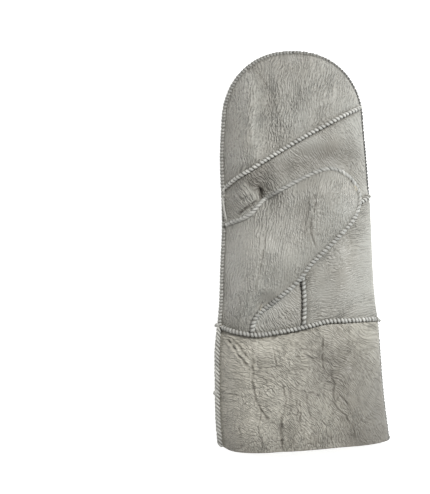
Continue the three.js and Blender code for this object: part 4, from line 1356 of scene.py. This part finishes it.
def whipped_seam(name, path, crest, hidden=None):
    """A raised ridge of two leather edges with flat yarn whipped over it. path is its centre line in
    3-D, crest the direction in which it stands out, and hidden the side whose yarn gets painted shade, as
    it lies under the leather beside it."""
    look = SEAM_LOOKS[name]
    slant, width, rise = look["slant"], look["width"], look["rise"]
    fine = even_steps(np.hstack([path, crest]), SEAM_STEP)
    line, crest = fine[:, :3], fine[:, 3:]
    along = tangents(line)
    crest = unit(crest - (crest * along).sum(1, keepdims=True) * along)
    across = np.cross(along, crest)
    run = run_of(line)
    count = max(1, round(run[-1] / look["pitch"]))
    pitch = run[-1] / count
    seam_ridge(name, look, line, crest, across, run, pitch)

    rng = np.random.default_rng(look["seed"])
    level_at = np.linspace(0, 1, len(look["shade"]))
    reach = np.linspace(-0.72, 0.72, STITCH_STEPS) * np.pi
    centres, outs, shades = [], [], []
    for k in range(count):
        middle = (k + 0.5) * pitch + rng.normal(0, 0.06) * pitch
        at = middle + slant * (1 + rng.normal(0, 0.08)) * reach / np.pi
        fat = 1.04 + rng.normal(0, 0.04)
        sideways = np.sin(reach)[:, None] * along_run(at, run, across) * (width * fat)
        body = sideways + np.cos(reach)[:, None] * along_run(at, run, crest) * (rise * fat)
        centres.append(along_run(at, run, line) + body)
        outs.append(unit(body))
        level = np.interp((k + 0.5) / count, level_at, look["shade"])
        level = level * (1 + rng.normal(0, 0.09)) * np.ones(len(reach))
        # Painted shade on the yarn's hidden side, under the leather beside it.
        if hidden is not None:
            level *= 1 - 0.75 * ease(4 * k / count) * ease((np.cos(reach - hidden * np.pi / 2) + 0.25) / 0.7)
        shades.append(level)
    centres, outs = np.array(centres), np.array(outs)
    beside = np.cross(unit(np.gradient(centres, axis=1)), outs)
    turn = np.linspace(0, 2 * np.pi, YARN_SIDES + 1)[:-1]
    taper = np.clip(1.3 * np.cos(np.linspace(-1, 1, len(reach)) * 1.2), 0.4, 1)[None, :, None, None]
    half = look["cover"] * pitch / 2
    rings = centres[:, :, None] + taper * (
        np.cos(turn)[None, None, :, None] * outs[:, :, None] * look["thick"]
        + np.sin(turn)[None, None, :, None] * beside[:, :, None] * half
    )
    # Painted shade on the sides of each stitch of yarn.
    dip = 1 - 0.35 * np.abs(np.sin(turn)) ** 3
    values = np.array(shades)[:, :, None, None] * dip[None, None, :, None] * np.ones(3)
    faces = tube_faces(rings.shape[:3], flip=True)
    threads = mesh_object(name + "_threads", rings.reshape(-1, 3), faces, THREAD, {"shade": values})
    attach(threads, "root")


def loose_end(name, radius, shade, route):
    """A short end of yarn or a knot: a tapered tube along points of the photograph, each with its
    height in mm."""
    points = smooth_path([(*photo(p), p[2]) for p in points_of(route)], 0.4)
    along = tangents(points)
    beside = unit(np.cross(along, (0.31, 0.17, 0.93)))
    over = np.cross(beside, along)
    turn = np.linspace(0, 2 * np.pi, YARN_SIDES + 1)[:-1]
    share = np.linspace(0, 1, len(points))
    size = radius * np.sqrt(np.clip(np.minimum(share, 1 - share) * 6, 0.05, 1))
    size = size * (1 + 0.2 * lattice_noise(share * 4, share * 0, 5))
    rings = points[:, None] + size[:, None, None] * (
        np.cos(turn)[None, :, None] * beside[:, None] + np.sin(turn)[None, :, None] * over[:, None]
    )
    faces = tube_faces((1, *rings.shape[:2]))
    obj = mesh_object(name, rings.reshape(-1, 3), faces, THREAD, {"shade": np.full(rings.shape, shade)})
    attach(obj, "root")


def seam_line(path, height, raise_by=SEAM_RAISE, roll=True):
    points = raised(path, height, roll)
    points[:, 2] += raise_by
    return points


def upward(path):
    return np.tile((0.0, 0.0, 1.0), (len(path), 1))


def side_height(x, y):
    return profile(1, y)


def thumb_seam_height(x, y):
    return palm_height(x, y) + seam_lift(x, y)


def side_seam(name, start, end, lift, raise_by=0.0, hidden=None):
    """A run of the side seam: its ridge stands out sideways, and turns up a little where it shows from
    above."""
    path = stretch(side, start, end)
    _, share, _ = nearest(side, path[:, 0], path[:, 1])
    out = point_at(SIDE_NORMALS, share)
    crest = np.hstack([out, np.full((len(out), 1), lift)])
    whipped_seam(name, seam_line(path, side_height, raise_by), crest, hidden)


def face_seam(name, path, height=palm_height, roll=True):
    """A seam on the palm's side: its ridge stands up."""
    whipped_seam(name, seam_line(path, height, roll=roll), upward(path))


def seams():
    face_seam("finger_seam", seam_run(finger_seam, left_side, right_side))
    thumb = seam_run(thumb_seam, left_side, cuff_seam)
    turn = share_of(thumb, place(THUMB_TIP_SIDE))
    face_seam("thumb_seam_upper", stretch(thumb, 0, turn), thumb_seam_height, roll=False)
    face_seam("thumb_seam_lower", stretch(thumb, turn, 1), thumb_seam_height, roll=False)
    palm = seam_run(palm_seam, thumb_seam, right_side)
    face_seam("palm_seam", stretch(palm, PALM_SEAM_START / length_of(palm), 1))
    face_seam("gusset_seam", seam_run(gusset_seam, palm_seam, cuff_seam))
    cuff = seam_run(cuff_seam, left_side, right_side)
    face_seam("cuff_seam", cuff)
    line = seam_line(cuff, back_height, -SEAM_RAISE)
    line[:, 2] = np.maximum(line[:, 2], SEAM_RADIUS + 0.1)
    whipped_seam("cuff_seam_back", line, -upward(cuff))
    left, hem_left = (crossing(seam, left_side)[1] / 2 for seam in (cuff_seam, hem))
    right, hem_right = ((1 + crossing(seam, right_side)[1]) / 2 for seam in (cuff_seam, hem))
    turn = share_of(side, SIDE_TURN)
    side_seam("hand_side_left", left, turn, 0.85)
    side_seam("hand_side_right", turn, right, -0.15, hidden=1)
    side_seam("cuff_left", hem_left, left, 1.9, raise_by=1.5)
    side_seam("cuff_right", right, hem_right, -0.1)
    for row in LOOSE_ENDS:
        loose_end(**row)


seams()


# Stage: a pale floor, light from the upper right and a long lens straight above

CAMERA_ABOVE = 1250.0
FOCUS_HEIGHT = 14.0
PHOTO_CENTRE = photo((PHOTO_SIZE[0] / 2, PHOTO_SIZE[1] / 2))
VIEW_HEIGHT = PHOTO_SIZE[1] * PHOTO_MM
SENSOR = 36.0
FLOOR_SIZE = 6.0

# Round lights, in metres and watts, all turned to one spot
LIT_SPOT = (0.0, 0.03, 0.02)
WORLD_LIGHT = 0.2
LIGHTS = table(
    "name at size power colour",
    ("overhead", (0.78, 0.72, 1.6), 0.34, 33.0, (1.0, 1.0, 0.99)),
    ("fill", (-0.55, 0.1, 0.8), 0.5, 1.5, (1.0, 0.995, 0.98)),
    ("window", (0.8, -0.02, 0.2), 0.4, 1.5, (0.8, 0.93, 1.0)),
)


def stage():
    half = FLOOR_SIZE / 2
    mesh = bpy.data.meshes.new("floor")
    corners = [(-half, -half, 0), (half, -half, 0), (half, half, 0), (-half, half, 0)]
    mesh.from_pydata(corners, [], [(0, 1, 2, 3)])
    floor = bpy.data.objects.new("floor", mesh)
    bpy.context.scene.collection.objects.link(floor)
    mesh.materials.append(Material("pale_floor").surface(
        Base_Color=(0.93, 0.93, 0.93, 1),
        Roughness=0.9,
        Emission_Color=(1, 1, 1, 1),
        Emission_Strength=0.75,
    ))


def area_light(name, at, size, power, colour):
    data = bpy.data.lights.new(name, "AREA")
    data.shape = "DISK"
    data.size = size
    data.energy = power
    data.color = colour
    light = bpy.data.objects.new(name, data)
    bpy.context.scene.collection.objects.link(light)
    light.location = at
    light.rotation_euler = (Vector(LIT_SPOT) - Vector(at)).to_track_quat("-Z", "Y").to_euler()


def lights_and_camera():
    scene = bpy.context.scene
    for row in LIGHTS:
        area_light(**row)
    world = bpy.data.worlds.new("studio")
    world.use_nodes = True
    background = world.node_tree.nodes["Background"].inputs
    background["Color"].default_value = (1, 1, 1, 1)
    background["Strength"].default_value = WORLD_LIGHT
    scene.world = world
    scene.view_settings.view_transform = "Standard"
    camera_data = bpy.data.cameras.new("camera")
    camera_data.sensor_width = SENSOR
    camera_data.lens = SENSOR * CAMERA_ABOVE / VIEW_HEIGHT
    camera_data.clip_end = 20
    camera = bpy.data.objects.new("camera", camera_data)
    scene.collection.objects.link(camera)
    camera.location = (
        (PHOTO_CENTRE[0] + SHIFT[0]) * MM,
        (PHOTO_CENTRE[1] + SHIFT[1]) * MM,
        (FOCUS_HEIGHT + CAMERA_ABOVE) * MM,
    )
    camera.rotation_euler = (0, 0, 0)
    scene.camera = camera


stage()
lights_and_camera()
